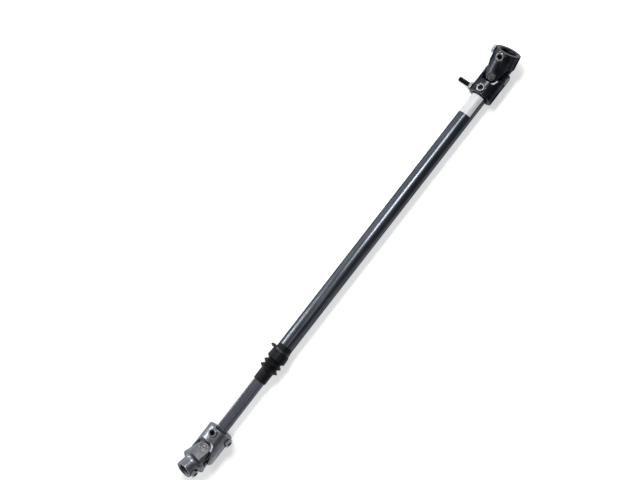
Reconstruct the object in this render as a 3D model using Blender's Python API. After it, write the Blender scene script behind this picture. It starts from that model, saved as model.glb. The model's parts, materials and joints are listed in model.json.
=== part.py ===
# Intermediate steering shaft with a telescoping slide and two universal joints.
# Lengths are in millimetres in the named values and become metres as the meshes are made.
# The shaft lies along X with its slender end at -X, and the whole part rests on Z = 0.
# Each universal joint is built about its own centre: +X runs out towards the hub that fits
# the car, Y is the trunnion axis of the yoke on the shaft, and Z is the hub yoke's.

import math
from collections import namedtuple

import bmesh
import bpy
from mathutils import Matrix, Vector

MM = 0.001
FIT_GAP = 0.3
CUT_OVERRUN = 1.0

# Overall layout along the shaft
JOINT_SPAN = 760.0
ROLL_DEG = 22.0
UPPER_BEND_DEG = 33.0
LOWER_BEND_DEG = 33.0

# Outer tube
TUBE_RADIUS = 12.7
TUBE_OPEN_END_X = -192.0
TUBE_REGISTER_LENGTH = 23.5
TUBE_REGISTER_RADIUS = 11.4
TUBE_CHAMFER = 0.8

# Double-D bar that slides in the tube
BAR_RADIUS = 9.52
BAR_ACROSS_FLATS = 14.2
BAR_IN_TUBE = 200.0
BAR_CHAMFER = 0.8

# Yokes, measured from the joint centre; the shares are of the yoke's radius
YOKE_LENGTH = 44.0
YOKE_RADIUS = 21.5
YOKE_EDGE = 1.0
EAR_GAP_SHARE = 26 / 43
EAR_ROOT_SHARE = 34 / 43
EAR_WALL = 3.2
EAR_NOSE_RISE = 0.5
EAR_RELIEF = 2.0
EAR_RELIEF_RUN_OUT = 5.0
EAR_RELIEF_CLEAR = 0.2
THROAT_SETBACK = 0.5
THROAT_CORNER = 4.0
END_BELOW_THROAT = 2.0
SHOULDER_CORNER = 3.0

# Slim forged hub at the lower end
SLIM_HUB_RADIUS = 14.5
SLIM_SHOULDER_RUN = 2.0
SLIM_NECK_RUN = 8.0
SLIM_FLAT_DEPTH = 2.9

# Bores of the two hubs that fit the car
UPPER_BORE_RADIUS = 12.8
UPPER_BORE_ACROSS_FLATS = 20.6
LOWER_BORE_RADIUS = 9.6
LOWER_BORE_ACROSS_FLATS = 14.4

# Cross and its needle bearings
TRUNNION_RADIUS = 4.0
TRUNNION_CHAMFER = 0.6
CROSS_SHOULDER_RADIUS = 6.4
CROSS_SHOULDER_RISE = 1.6
NEEDLE_DIAMETER = 1.1
NEEDLE_WAIST = 0.55
NEEDLE_COUNT = 12
CAP_WALL = 1.3
CAP_FLOOR = 1.3
CAP_RECESS = 0.7
CAP_EDGE = 0.5
SEAL_RADIUS = 6.6
SEAL_ROOM = 3.4

# Set screws and their jam nuts
SCREW_RADIUS = 3.9
SCREW_FROM_END = 8.0
SCREW_SOCKET_ACROSS = 4.0
SCREW_SOCKET_DEPTH = 4.0
SCREW_EDGE = 0.5
SCREW_BELOW_NUT_TOP = 1.6
SCREW_HOLE_START = 2.0
SCREW_INTO_BORE = 1.0
STUD_REACH = 47.0
NUT_ACROSS = 12.7
NUT_THICKNESS = 4.8
NUT_CHAMFER_DEG = 30.0
NUT_FACE_MARGIN = 0.17
SPOT_FACE_RADIUS = 8.0
SPOT_FACE_DEPTH = 1.0

# Rubber boot, measured down the shaft from its collar's edge
BOOT_WALL = 1.2
BOOT_COLLAR_LENGTH = 26.0
BOOT_COLLAR_RADIUS = 13.1
BOOT_FLARE_RADIUS = 15.2
BOOT_TIE_START = 7.2
BOOT_FOLD_COUNT = 3
BOOT_FOLD_PITCH = 9.5
BOOT_FOLD_PEAK_RADIUS = 16.4
BOOT_FOLD_VALLEY_RADIUS = 11.9
BOOT_FOLD_LIP = 0.5
BOOT_FOLD_SLOPE = 4.0
BOOT_NECK_RADIUS = 11.1
BOOT_NECK_LENGTH = 20.0

# Cable tie on the boot's collar
TIE_WIDTH = 4.6
TIE_THICKNESS = 1.1
TIE_HEAD_WIDTH = 6.0
TIE_HEAD_DEPTH = 5.2
TIE_HEAD_OUT = 21.5
TIE_HEAD_TURN_DEG = -68.0
TIE_TAIL_WIDTH = 3.6
TIE_TAIL_THICKNESS = 1.4
TIE_TAIL_LENGTH = 2.4

# Facets round a full turn
LARGE_SEGMENTS = 32
SMALL_SEGMENTS = 16
DOUBLE_D_STEPS = 6
EAR_TIP_STEPS = 12
CORNER_STEPS = 4

HALF_SPAN = JOINT_SPAN / 2
EAR_INNER_HALF = YOKE_RADIUS * EAR_GAP_SHARE
EAR_ROOT_HALF = YOKE_RADIUS * EAR_ROOT_SHARE
EAR_NOSE_RADIUS = YOKE_RADIUS + EAR_NOSE_RISE
THROAT_X = YOKE_RADIUS - THROAT_SETBACK
SLIM_SHOULDER_X = THROAT_X + SLIM_SHOULDER_RUN
SLIM_NECK_X = SLIM_SHOULDER_X + SLIM_NECK_RUN
SLIM_EAR_FLAT = YOKE_RADIUS - SLIM_FLAT_DEPTH
SCREW_X = YOKE_LENGTH - SCREW_FROM_END
CROSS_SHOULDER_HALF = EAR_INNER_HALF - SEAL_ROOM
CROSS_CORE_RADIUS = CROSS_SHOULDER_HALF - CROSS_SHOULDER_RISE
TUBE_CLOSED_END_X = HALF_SPAN - THROAT_X - END_BELOW_THROAT
BAR_OUTER_END_X = -TUBE_CLOSED_END_X
BAR_INNER_END_X = TUBE_OPEN_END_X + BAR_IN_TUBE
BOOT_TOP_X = TUBE_OPEN_END_X + TUBE_REGISTER_LENGTH
CAP_BORE_RADIUS = TRUNNION_RADIUS + NEEDLE_DIAMETER + 2 * FIT_GAP
CAP_RADIUS = CAP_BORE_RADIUS + CAP_WALL
EAR_BORE_RADIUS = CAP_RADIUS + FIT_GAP
EAR_TIP_RADIUS = EAR_BORE_RADIUS + EAR_WALL
CAP_OPEN = EAR_INNER_HALF + FIT_GAP
ROUND_CAP_TOP = YOKE_RADIUS - CAP_RECESS
SLIM_CAP_TOP = SLIM_EAR_FLAT - CAP_RECESS
SCREW_HOLE_RADIUS = SCREW_RADIUS + FIT_GAP
TOOL_REACH = 1.5 * YOKE_RADIUS

# A set screw's word, axis and side, with the radii of its inner and outer ends
Screw = namedtuple("Screw", "word axis sign start top")
# One yoke's section of bore, its hub and bearing radii, and its set screws
Hub = namedtuple("Hub", "bore radius cap_top screws")
# The materials of one universal joint
Finish = namedtuple("Finish", "yoke cap rubber nut screw")


def clear_scene():
    for item in list(bpy.data.objects):
        bpy.data.objects.remove(item, do_unlink=True)


def make_material(name, colour, roughness, metallic):
    material = bpy.data.materials.new(name)
    material.use_nodes = True
    shader = material.node_tree.nodes["Principled BSDF"]
    shader.inputs["Base Color"].default_value = (*colour, 1.0)
    shader.inputs["Roughness"].default_value = roughness
    shader.inputs["Metallic"].default_value = metallic
    return material


def make_empty(name, parent=None, location=(0, 0, 0), turn_deg=(0, 0, 0)):
    """A frame that pieces hang from, placed by millimetres and degrees."""
    empty = bpy.data.objects.new(name, None)
    bpy.context.scene.collection.objects.link(empty)
    empty.parent = parent
    empty.location = Vector(location) * MM
    empty.rotation_euler = [math.radians(a) for a in turn_deg]
    return empty


def make_object(name, bm, material=None, parent=None):
    """Finishes a bmesh drawn in millimetres as an object in metres."""
    bmesh.ops.remove_doubles(bm, verts=bm.verts, dist=1e-4)
    bmesh.ops.recalc_face_normals(bm, faces=bm.faces)
    bmesh.ops.scale(bm, vec=(MM, MM, MM), verts=bm.verts)
    mesh = bpy.data.meshes.new(name)
    bm.to_mesh(mesh)
    bm.free()
    piece = bpy.data.objects.new(name, mesh)
    bpy.context.scene.collection.objects.link(piece)
    piece.parent = parent
    if material is not None:
        mesh.materials.append(material)
    return piece


def turn_about(axis):
    """The turn that carries X onto another axis."""
    if axis == "X":
        return Matrix.Identity(4)
    if axis == "Y":
        return Matrix.Rotation(math.radians(90), 4, "Z")
    return Matrix.Rotation(math.radians(-90), 4, "Y")


def turned(name, outline, segments, axis="X", place=(0, 0, 0), **owner):
    """A closed outline of (along, radius) points, spun about an axis through place."""
    bm = bmesh.new()
    points = [bm.verts.new((along, 0, radius)) for along, radius in outline]
    edges = [bm.edges.new((points[i - 1], points[i])) for i in range(len(points))]
    bmesh.ops.spin(
        bm,
        geom=points + edges,
        cent=(0, 0, 0),
        axis=(1, 0, 0),
        angle=2 * math.pi,
        steps=segments,
        use_merge=True,
    )
    bmesh.ops.remove_doubles(bm, verts=bm.verts, dist=1e-4)
    on_axis = [e for e in bm.edges if all(v.co.yz.length < 1e-4 for v in e.verts)]
    bmesh.ops.delete(bm, geom=on_axis, context="EDGES")
    bmesh.ops.transform(
        bm, matrix=Matrix.Translation(place) @ turn_about(axis), verts=bm.verts
    )
    return make_object(name, bm, **owner)


def extruded(name, outline, low, high, axis="X", place=(0, 0, 0), **owner):
    """A flat outline drawn square to an axis, drawn out from low to high along it."""
    bm = bmesh.new()
    face = bm.faces.new([bm.verts.new((low, u, v)) for u, v in outline])
    grown = bmesh.ops.extrude_face_region(bm, geom=[face])
    moved = [g for g in grown["geom"] if isinstance(g, bmesh.types.BMVert)]
    bmesh.ops.translate(bm, vec=(high - low, 0, 0), verts=moved)
    bmesh.ops.transform(
        bm, matrix=Matrix.Translation(place) @ turn_about(axis), verts=bm.verts
    )
    return make_object(name, bm, **owner)


def combine(piece, tool, operation):
    """Cuts, joins or intersects a piece with a tool, which is used up."""
    modifier = piece.modifiers.new(operation.lower(), "BOOLEAN")
    modifier.operation = operation
    modifier.object = tool
    modifier.solver = "EXACT"
    bpy.context.view_layer.update()
    graph = bpy.context.evaluated_depsgraph_get()
    shaped = bpy.data.meshes.new_from_object(piece.evaluated_get(graph))
    piece.modifiers.clear()
    piece.data = shaped
    bpy.data.objects.remove(tool, do_unlink=True)
    tidy = bmesh.new()
    tidy.from_mesh(shaped)
    bmesh.ops.remove_doubles(tidy, verts=tidy.verts, dist=2e-6)
    bmesh.ops.dissolve_degenerate(tidy, dist=1e-6, edges=tidy.edges)
    tidy.to_mesh(shaped)
    tidy.free()


def arc(centre, radius, start_deg, end_deg, steps):
    """Points along a circle from one angle to another, both ends included."""
    turn = (end_deg - start_deg) / steps
    angles = [math.radians(start_deg + turn * i) for i in range(steps + 1)]
    return [
        (centre[0] + radius * math.cos(a), centre[1] + radius * math.sin(a))
        for a in angles
    ]


def circle(radius, segments):
    return arc((0, 0), radius, 0, 360 - 360 / segments, segments - 1)


def double_d(radius, across_flats):
    """A round section with two flats square to its second direction."""
    half_angle = math.degrees(math.asin(across_flats / 2 / radius))
    right = arc((0, 0), radius, -half_angle, half_angle, DOUBLE_D_STEPS)
    left = arc((0, 0), radius, 180 - half_angle, 180 + half_angle, DOUBLE_D_STEPS)
    return right + left


def rectangle(half_width, half_height):
    w, h = half_width, half_height
    return [(-w, -h), (w, -h), (w, h), (-w, h)]


def cylinder(name, radius, low, high, axis, place=(0, 0, 0), **owner):
    outline = [(low, 0), (low, radius), (high, radius), (high, 0)]
    return turned(name, outline, SMALL_SEGMENTS, axis, place, **owner)


def hexagon(across_flats):
    return circle(across_flats / 2 / math.cos(math.radians(30)), 6)


def smooth(piece, angle_deg=35.0):
    piece.data.shade_smooth()
    piece.data.set_sharp_from_angle(angle=math.radians(angle_deg))


def make_tube(shaft, steel):
    """Drawn tube: round outside, double-D inside, with a turned seat for the boot."""
    closed, opened = TUBE_CLOSED_END_X, TUBE_OPEN_END_X
    outline = [
        (closed, 0),
        (closed, TUBE_RADIUS - TUBE_CHAMFER),
        (closed - TUBE_CHAMFER, TUBE_RADIUS),
        (BOOT_TOP_X, TUBE_RADIUS),
        (BOOT_TOP_X, TUBE_REGISTER_RADIUS),
        (opened + TUBE_CHAMFER, TUBE_REGISTER_RADIUS),
        (opened, TUBE_REGISTER_RADIUS - TUBE_CHAMFER),
        (opened, 0),
    ]
    tube = turned("outer_tube", outline, LARGE_SEGMENTS, material=steel, parent=shaft)
    section = double_d(BAR_RADIUS + FIT_GAP, BAR_ACROSS_FLATS + 2 * FIT_GAP)
    low, high = opened - CUT_OVERRUN, closed + CUT_OVERRUN
    bore = extruded("tube_bore", section, low, high, parent=shaft)
    combine(tube, bore, "DIFFERENCE")
    smooth(tube)


def make_bar(slider, steel):
    """Solid double-D bar with chamfered ends."""
    low, high = BAR_OUTER_END_X, BAR_INNER_END_X
    outline = [
        (high, 0),
        (high, BAR_RADIUS - BAR_CHAMFER),
        (high - BAR_CHAMFER, BAR_RADIUS),
        (low + BAR_CHAMFER, BAR_RADIUS),
        (low, BAR_RADIUS - BAR_CHAMFER),
        (low, 0),
    ]
    bar = turned("inner_bar", outline, LARGE_SEGMENTS, material=steel, parent=slider)
    slab = rectangle(2 * BAR_RADIUS, BAR_ACROSS_FLATS / 2)
    low, high = low - CUT_OVERRUN, high + CUT_OVERRUN
    tool = extruded("bar_flats", slab, low, high, parent=slider)
    combine(bar, tool, "INTERSECT")
    smooth(bar)


def boot_outline():
    """Outer and inner faces of the boot as (distance down the shaft, radius)."""
    tie_end = BOOT_TIE_START + TIE_HEAD_DEPTH + 2 * FIT_GAP
    groove = BOOT_COLLAR_RADIUS - BOOT_FOLD_LIP
    peak, valley = BOOT_FOLD_PEAK_RADIUS, BOOT_FOLD_VALLEY_RADIUS
    outer = [
        (0, BOOT_COLLAR_RADIUS - BOOT_FOLD_LIP),
        (BOOT_TIE_START, BOOT_COLLAR_RADIUS),
        (BOOT_TIE_START, groove),
        (tie_end, groove),
        (tie_end, BOOT_FLARE_RADIUS - BOOT_FOLD_LIP),
        (tie_end + BOOT_FOLD_LIP, BOOT_FLARE_RADIUS),
    ]
    for fold in range(BOOT_FOLD_COUNT):
        crest = BOOT_COLLAR_LENGTH + fold * BOOT_FOLD_PITCH
        dip = crest + BOOT_FOLD_SLOPE
        outer.append((crest - BOOT_FOLD_LIP, peak - BOOT_FOLD_LIP / 2))
        outer.append((crest + BOOT_FOLD_LIP, peak))
        if fold < BOOT_FOLD_COUNT - 1:
            outer.append((dip, valley))
            outer.append((dip + 2 * BOOT_FOLD_LIP, valley))
    neck = BOOT_COLLAR_LENGTH + (BOOT_FOLD_COUNT - 1) * BOOT_FOLD_PITCH + BOOT_FOLD_SLOPE
    end = neck + BOOT_NECK_LENGTH
    outer += [
        (neck, BOOT_NECK_RADIUS),
        (end - BOOT_FOLD_LIP, BOOT_NECK_RADIUS),
        (end, BOOT_NECK_RADIUS - BOOT_FOLD_LIP),
    ]
    seat = TUBE_REGISTER_RADIUS + FIT_GAP
    bar_clear = BAR_RADIUS + FIT_GAP
    seat_end = TUBE_REGISTER_LENGTH + 2 * FIT_GAP
    inner = [(0, seat), (seat_end, seat)]
    inner += [
        (along, max(radius - BOOT_WALL, bar_clear))
        for along, radius in outer
        if seat_end < along < neck
    ]
    inner += [(neck, bar_clear), (end, bar_clear)]
    return outer, inner


def make_boot(shaft, rubber):
    """Moulded rubber boot: collar on the tube, folds, and a neck that wipes the bar."""
    outer, inner = boot_outline()
    outline = [(BOOT_TOP_X - s, r) for s, r in outer + inner[::-1]]
    boot = turned("dust_boot", outline, LARGE_SEGMENTS, material=rubber, parent=shaft)
    smooth(boot, 40.0)


def make_tie(shaft, plastic):
    """Cable tie drawn round the collar, with its lock head and the cut tail."""
    middle = BOOT_TOP_X - BOOT_TIE_START - FIT_GAP - TIE_HEAD_DEPTH / 2
    low = BOOT_COLLAR_RADIUS - BOOT_FOLD_LIP + FIT_GAP
    high = low + TIE_THICKNESS
    half = TIE_WIDTH / 2
    band = [(half, low), (half, high), (-half, high), (-half, low)]
    side = make_empty("tie_side", shaft, (middle, 0, 0), (TIE_HEAD_TURN_DEG, 0, 0))
    tie = turned("cable_tie", band, LARGE_SEGMENTS, material=plastic, parent=side)
    foot = low + TIE_THICKNESS / 2
    box = rectangle(TIE_HEAD_WIDTH / 2, TIE_HEAD_DEPTH / 2)
    head = extruded("tie_head", box, foot, TIE_HEAD_OUT - TIE_TAIL_LENGTH, "Z", parent=side)
    strip = rectangle(TIE_TAIL_THICKNESS / 2, TIE_TAIL_WIDTH / 2)
    tail = extruded("tie_tail", strip, foot, TIE_HEAD_OUT, "Z", parent=side)
    combine(head, tail, "UNION")
    combine(tie, head, "UNION")
    smooth(tie)


def ear_lean_deg():
    """How far an ear's sides spread from its tip to its root."""
    return math.degrees(
        math.atan2(EAR_ROOT_HALF - EAR_TIP_RADIUS, THROAT_X - SHOULDER_CORNER)
    )


def ear_side_outline():
    """The metal milled away round an ear, drawn in the plane square to its trunnion."""
    far = TOOL_REACH
    lean = ear_lean_deg()
    tip = arc((0, 0), EAR_TIP_RADIUS, 90 + lean, 270 - lean, EAR_TIP_STEPS)
    corner = THROAT_X - SHOULDER_CORNER
    root = EAR_ROOT_HALF + SHOULDER_CORNER
    fillet = arc((corner, root), SHOULDER_CORNER, -90, 0, CORNER_STEPS)
    upper = [(THROAT_X, far)] + fillet[::-1]
    lower = [(x, -z) for x, z in upper[::-1]]
    return upper + tip + lower + [(-far, -far), (-far, far)]


def slot_outline():
    """The slot between the ears, with round corners at its throat."""
    far = TOOL_REACH
    x, y = THROAT_X - THROAT_CORNER, EAR_INNER_HALF - THROAT_CORNER
    corner = arc((x, y), THROAT_CORNER, 0, 90, CORNER_STEPS)
    mirrored = [(u, -v) for u, v in corner[::-1]]
    return mirrored + corner + [(-far, EAR_INNER_HALF), (-far, -EAR_INNER_HALF)]


def yoke_blank(name, hub_radius, material, parent):
    """The turned or forged body before its ears are cut: a round nose and a hub."""
    meet = math.degrees(math.acos(YOKE_RADIUS / EAR_NOSE_RADIUS))
    tip = math.degrees(math.asin(EAR_TIP_RADIUS / EAR_NOSE_RADIUS))
    nose = arc((0, 0), EAR_NOSE_RADIUS, 90 + tip, 90 + meet, CORNER_STEPS)
    end = YOKE_LENGTH
    outline = [(nose[0][0], 0)] + nose
    if hub_radius < YOKE_RADIUS:
        drop = YOKE_RADIUS - hub_radius
        run = SLIM_NECK_X - SLIM_SHOULDER_X
        outline += [
            (SLIM_NECK_X - run * math.cos(a), YOKE_RADIUS - drop * math.sin(a))
            for a in (math.radians(90 * i / CORNER_STEPS) for i in range(CORNER_STEPS + 1))
        ]
    outline += [
        (end - YOKE_EDGE, hub_radius),
        (end, hub_radius - YOKE_EDGE),
        (end, 0),
    ]
    return turned(name, outline[::-1], LARGE_SEGMENTS, material=material, parent=parent)


def mill_ear_flats(yoke, frame):
    """The flats that the slim forging has across the outer faces of its ears."""
    far = TOOL_REACH
    window = [(far, -far), (far, far), (-SLIM_SHOULDER_X, far), (-SLIM_SHOULDER_X, -far)]
    for sign in (1, -1):
        low, high = sorted((sign * SLIM_EAR_FLAT, sign * far))
        mill = extruded("ear_flat", window, low, high, "Y", parent=frame)
        combine(yoke, mill, "DIFFERENCE")


def relief_cutter(side_y, side_z, frame):
    """A square bar laid cornerwise on an ear's inner edge, pointed where it runs out."""
    turn = math.radians(90 + ear_lean_deg())
    tip = Vector((EAR_TIP_RADIUS * math.cos(turn), 0, EAR_TIP_RADIUS * math.sin(turn)))
    root = Vector((THROAT_X - SHOULDER_CORNER, 0, EAR_ROOT_HALF))
    along = (root - tip).normalized()
    out, across = Vector((-along.z, 0, along.x)), Vector((0, 1, 0))
    edge = Vector((0, EAR_INNER_HALF, 0))
    run_out = THROAT_X - THROAT_CORNER

    def on_edge(x):
        return edge + tip + along * ((x - tip.x) / along.x)

    bm = bmesh.new()
    rings = []
    for x in (-TOOL_REACH, run_out - EAR_RELIEF_RUN_OUT):
        corners = [on_edge(x) + EAR_RELIEF * d for d in (across, out, -across, -out)]
        rings.append([bm.verts.new(corner) for corner in corners])
    point = bm.verts.new(on_edge(run_out) + EAR_RELIEF_CLEAR * (out - across))
    bm.faces.new(rings[0])
    for k in range(4):
        bm.faces.new((rings[0][k - 1], rings[0][k], rings[1][k], rings[1][k - 1]))
        bm.faces.new((rings[1][k - 1], rings[1][k], point))
    bmesh.ops.scale(bm, vec=(1, side_y, side_z), verts=bm.verts)
    return make_object("ear_relief", bm, parent=frame)


def relieve_ears(yoke, frame):
    """The chamfers on the ears' inner edges, which let the joint bend sideways as well."""
    for side_y in (1, -1):
        for side_z in (1, -1):
            combine(yoke, relief_cutter(side_y, side_z, frame), "DIFFERENCE")


def make_yoke(name, frame, hub, material):
    """A yoke in its own frame: ears on Y, hub towards +X."""
    yoke = yoke_blank(name, hub.radius, material, frame)
    far = TOOL_REACH
    if hub.radius < YOKE_RADIUS:
        mill_ear_flats(yoke, frame)
    sides = extruded(
        "ear_sides", [(-x, z) for x, z in ear_side_outline()], -far, far, "Y", parent=frame
    )
    combine(yoke, sides, "DIFFERENCE")
    slot = extruded(
        "ear_slot", [(y, -x) for x, y in slot_outline()], -far, far, "Z", parent=frame
    )
    combine(yoke, slot, "DIFFERENCE")
    relieve_ears(yoke, frame)
    ears = cylinder("ear_bores", EAR_BORE_RADIUS, -far, far, "Y", parent=frame)
    combine(yoke, ears, "DIFFERENCE")
    start, end = THROAT_X - THROAT_CORNER, YOKE_LENGTH + CUT_OVERRUN
    hollow = extruded("hub_bore", hub.bore, start, end, parent=frame)
    combine(yoke, hollow, "DIFFERENCE")
    seat = hub.radius - SPOT_FACE_DEPTH
    place = (SCREW_X, 0, 0)
    for screw in hub.screws:
        for radius, start in (SPOT_FACE_RADIUS, seat), (SCREW_HOLE_RADIUS, SCREW_HOLE_START):
            low, high = sorted((screw.sign * start, screw.sign * far))
            drill = cylinder("drill", radius, low, high, screw.axis, place, parent=frame)
            combine(yoke, drill, "DIFFERENCE")
    smooth(yoke, 30.0)


def make_cross(name, frame, steel, reach_y, reach_z):
    """Forged cross: a round core with a shouldered trunnion each way along Y and Z."""
    half = CROSS_SHOULDER_RADIUS
    cross = cylinder(name, CROSS_CORE_RADIUS, -half, half, "X", material=steel, parent=frame)
    shoulder = CROSS_SHOULDER_HALF
    for axis, reach in (("Y", reach_y), ("Z", reach_z)):
        right = [
            (shoulder, CROSS_SHOULDER_RADIUS),
            (shoulder, TRUNNION_RADIUS),
            (reach - TRUNNION_CHAMFER, TRUNNION_RADIUS),
            (reach, TRUNNION_RADIUS - TRUNNION_CHAMFER),
            (reach, 0),
        ]
        left = [(-x, r) for x, r in right[::-1]]
        arm = turned("arm", left + right, SMALL_SEGMENTS, axis, parent=frame)
        combine(cross, arm, "UNION")
    smooth(cross)


def make_cap(name, frame, axis, sign, top, steel):
    """Pressed bearing cup, open towards the cross."""
    floor = top - CAP_FLOOR
    outline = [
        (top, 0),
        (top, CAP_RADIUS - CAP_EDGE),
        (top - CAP_EDGE, CAP_RADIUS),
        (CAP_OPEN, CAP_RADIUS),
        (CAP_OPEN, CAP_BORE_RADIUS),
        (floor, CAP_BORE_RADIUS),
        (floor, 0),
    ]
    outline = [(sign * x, r) for x, r in outline]
    smooth(turned(name, outline, SMALL_SEGMENTS, axis, material=steel, parent=frame))


def make_needles(name, frame, axis, sign, top, steel):
    """The needle rollers of one cup, side by side as one lobed ring."""
    inner = TRUNNION_RADIUS + FIT_GAP
    middle = inner + NEEDLE_DIAMETER / 2
    low, high = CAP_OPEN + FIT_GAP, top - CAP_FLOOR - FIT_GAP
    bm = bmesh.new()
    rings = []
    for along, side in ((low, 1), (high, 1), (high, -1), (low, -1)):
        ring = []
        for i in range(2 * NEEDLE_COUNT):
            swell = (NEEDLE_DIAMETER if i % 2 == 0 else NEEDLE_WAIST) / 2
            radius = middle + side * swell
            angle = math.pi * i / NEEDLE_COUNT
            place = (sign * along, radius * math.cos(angle), radius * math.sin(angle))
            ring.append(bm.verts.new(place))
        rings.append(ring)
    for k, ring in enumerate(rings):
        following = rings[(k + 1) % 4]
        for i in range(2 * NEEDLE_COUNT):
            j = (i + 1) % (2 * NEEDLE_COUNT)
            bm.faces.new((ring[i], ring[j], following[j], following[i]))
    bmesh.ops.transform(bm, matrix=turn_about(axis), verts=bm.verts)
    smooth(make_object(name, bm, steel, frame))


def make_seal(name, frame, axis, sign, rubber):
    """Rubber ring between the cross's shoulder and the cup."""
    low, high = CROSS_SHOULDER_HALF + FIT_GAP, CAP_OPEN - FIT_GAP
    inner = TRUNNION_RADIUS + FIT_GAP
    outline = [(low, inner), (low, SEAL_RADIUS), (high, SEAL_RADIUS), (high, inner)]
    outline = [(sign * x, r) for x, r in outline]
    smooth(turned(name, outline, SMALL_SEGMENTS, axis, material=rubber, parent=frame))


def make_screw(name, frame, screw, top, steel):
    """Socket set screw, standing at the hub's screw place."""
    place = (SCREW_X, 0, 0)
    start, edge = screw.start, SCREW_RADIUS - SCREW_EDGE
    outline = [
        (start, 0),
        (start, edge),
        (start + SCREW_EDGE, SCREW_RADIUS),
        (top - SCREW_EDGE, SCREW_RADIUS),
        (top, edge),
        (top, 0),
    ]
    outline = [(screw.sign * x, r) for x, r in outline]
    body = turned(name, outline, SMALL_SEGMENTS, screw.axis, place, material=steel, parent=frame)
    ends = sorted((screw.sign * (top - SCREW_SOCKET_DEPTH), screw.sign * (top + CUT_OVERRUN)))
    socket = hexagon(SCREW_SOCKET_ACROSS)
    key = extruded("hex_key", socket, *ends, screw.axis, place, parent=frame)
    combine(body, key, "DIFFERENCE")
    smooth(body)


def make_nut(name, frame, screw, seat, steel):
    """Chamfered hexagon jam nut, seated on its spot face."""
    place = (SCREW_X, 0, 0)
    low, high = seat + FIT_GAP, seat + FIT_GAP + NUT_THICKNESS
    flat = NUT_ACROSS / 2 - NUT_FACE_MARGIN
    corner = NUT_ACROSS / 2 / math.cos(math.radians(30)) + NUT_FACE_MARGIN
    drop = (corner - flat) * math.tan(math.radians(NUT_CHAMFER_DEG))
    outline = [
        (low, SCREW_HOLE_RADIUS),
        (low, flat),
        (low + drop, corner),
        (high - drop, corner),
        (high, flat),
        (high, SCREW_HOLE_RADIUS),
    ]
    outline = [(screw.sign * x, r) for x, r in outline]
    nut = turned(name, outline, SMALL_SEGMENTS, screw.axis, place, material=steel, parent=frame)
    ends = sorted((screw.sign * (low - CUT_OVERRUN), screw.sign * (high + CUT_OVERRUN)))
    prism = extruded("hexagon", hexagon(NUT_ACROSS), *ends, screw.axis, place, parent=frame)
    combine(nut, prism, "INTERSECT")
    smooth(nut)


def fit_screws(prefix, frame, hub, finish):
    """Each set screw of a hub, with its jam nut."""
    seat = hub.radius - SPOT_FACE_DEPTH
    flush = seat + FIT_GAP + NUT_THICKNESS - SCREW_BELOW_NUT_TOP
    for screw in hub.screws:
        name = f"{prefix}_{screw.word}"
        make_nut(f"{name}_jam_nut", frame, screw, seat, finish.nut)
        make_screw(f"{name}_set_screw", frame, screw, screw.top or flush, finish.screw)


def fit_bearings(prefix, yoke_frame, cross_frame, axis, cap_top, finish):
    """Both bearings of one pair of ears: cups on the yoke, needles and seals on the cross."""
    for word, sign in ("a", 1), ("b", -1):
        make_cap(f"{prefix}_cap_{word}", yoke_frame, "Y", sign, cap_top, finish.cap)
        make_needles(f"{prefix}_needles_{word}", cross_frame, axis, sign, cap_top, finish.cap)
        make_seal(f"{prefix}_seal_{word}", cross_frame, axis, sign, finish.rubber)


def make_joint(name, carrier, place, turn_deg, bend_deg, shaft_hub, car_hub, finish):
    """One universal joint: shaft yoke, cross with four bearings, and the car's yoke."""
    centre = make_empty(f"{name}_joint", carrier, place, (0, 0, turn_deg))
    inner = make_empty(f"{name}_shaft_side", centre, turn_deg=(0, 0, 180))
    pivot = make_empty(f"{name}_cross_side", centre, turn_deg=(0, -bend_deg, 0))
    outer = make_empty(f"{name}_hub_side", pivot, turn_deg=(90, 0, 0))
    under_floor = CAP_FLOOR + FIT_GAP
    reaches = shaft_hub.cap_top - under_floor, car_hub.cap_top - under_floor
    make_cross(f"{name}_cross", pivot, finish.cap, *reaches)
    ends = ("shaft", inner, "Y", shaft_hub), ("hub", outer, "Z", car_hub)
    for word, frame, axis, hub in ends:
        make_yoke(f"{name}_{word}_yoke", frame, hub, finish.yoke)
        fit_bearings(f"{name}_{word}", frame, pivot, axis, hub.cap_top, finish)
        fit_screws(f"{name}_{word}", frame, hub, finish)


def upright(section):
    """The same section with its flats facing the other way."""
    return [(v, u) for u, v in section[::-1]]


def stand_on_origin(shaft):
    """Brings the middle of the underside of everything to the origin."""
    bpy.context.view_layer.update()
    corners = [
        piece.matrix_world @ vertex.co
        for piece in bpy.data.objects
        if piece.type == "MESH"
        for vertex in piece.data.vertices
    ]
    low = Vector([min(c[i] for c in corners) for i in range(3)])
    high = Vector([max(c[i] for c in corners) for i in range(3)])
    middle = (low + high) / 2
    shaft.location -= Vector((middle.x, middle.y, low.z))
    bpy.context.view_layer.update()


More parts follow.
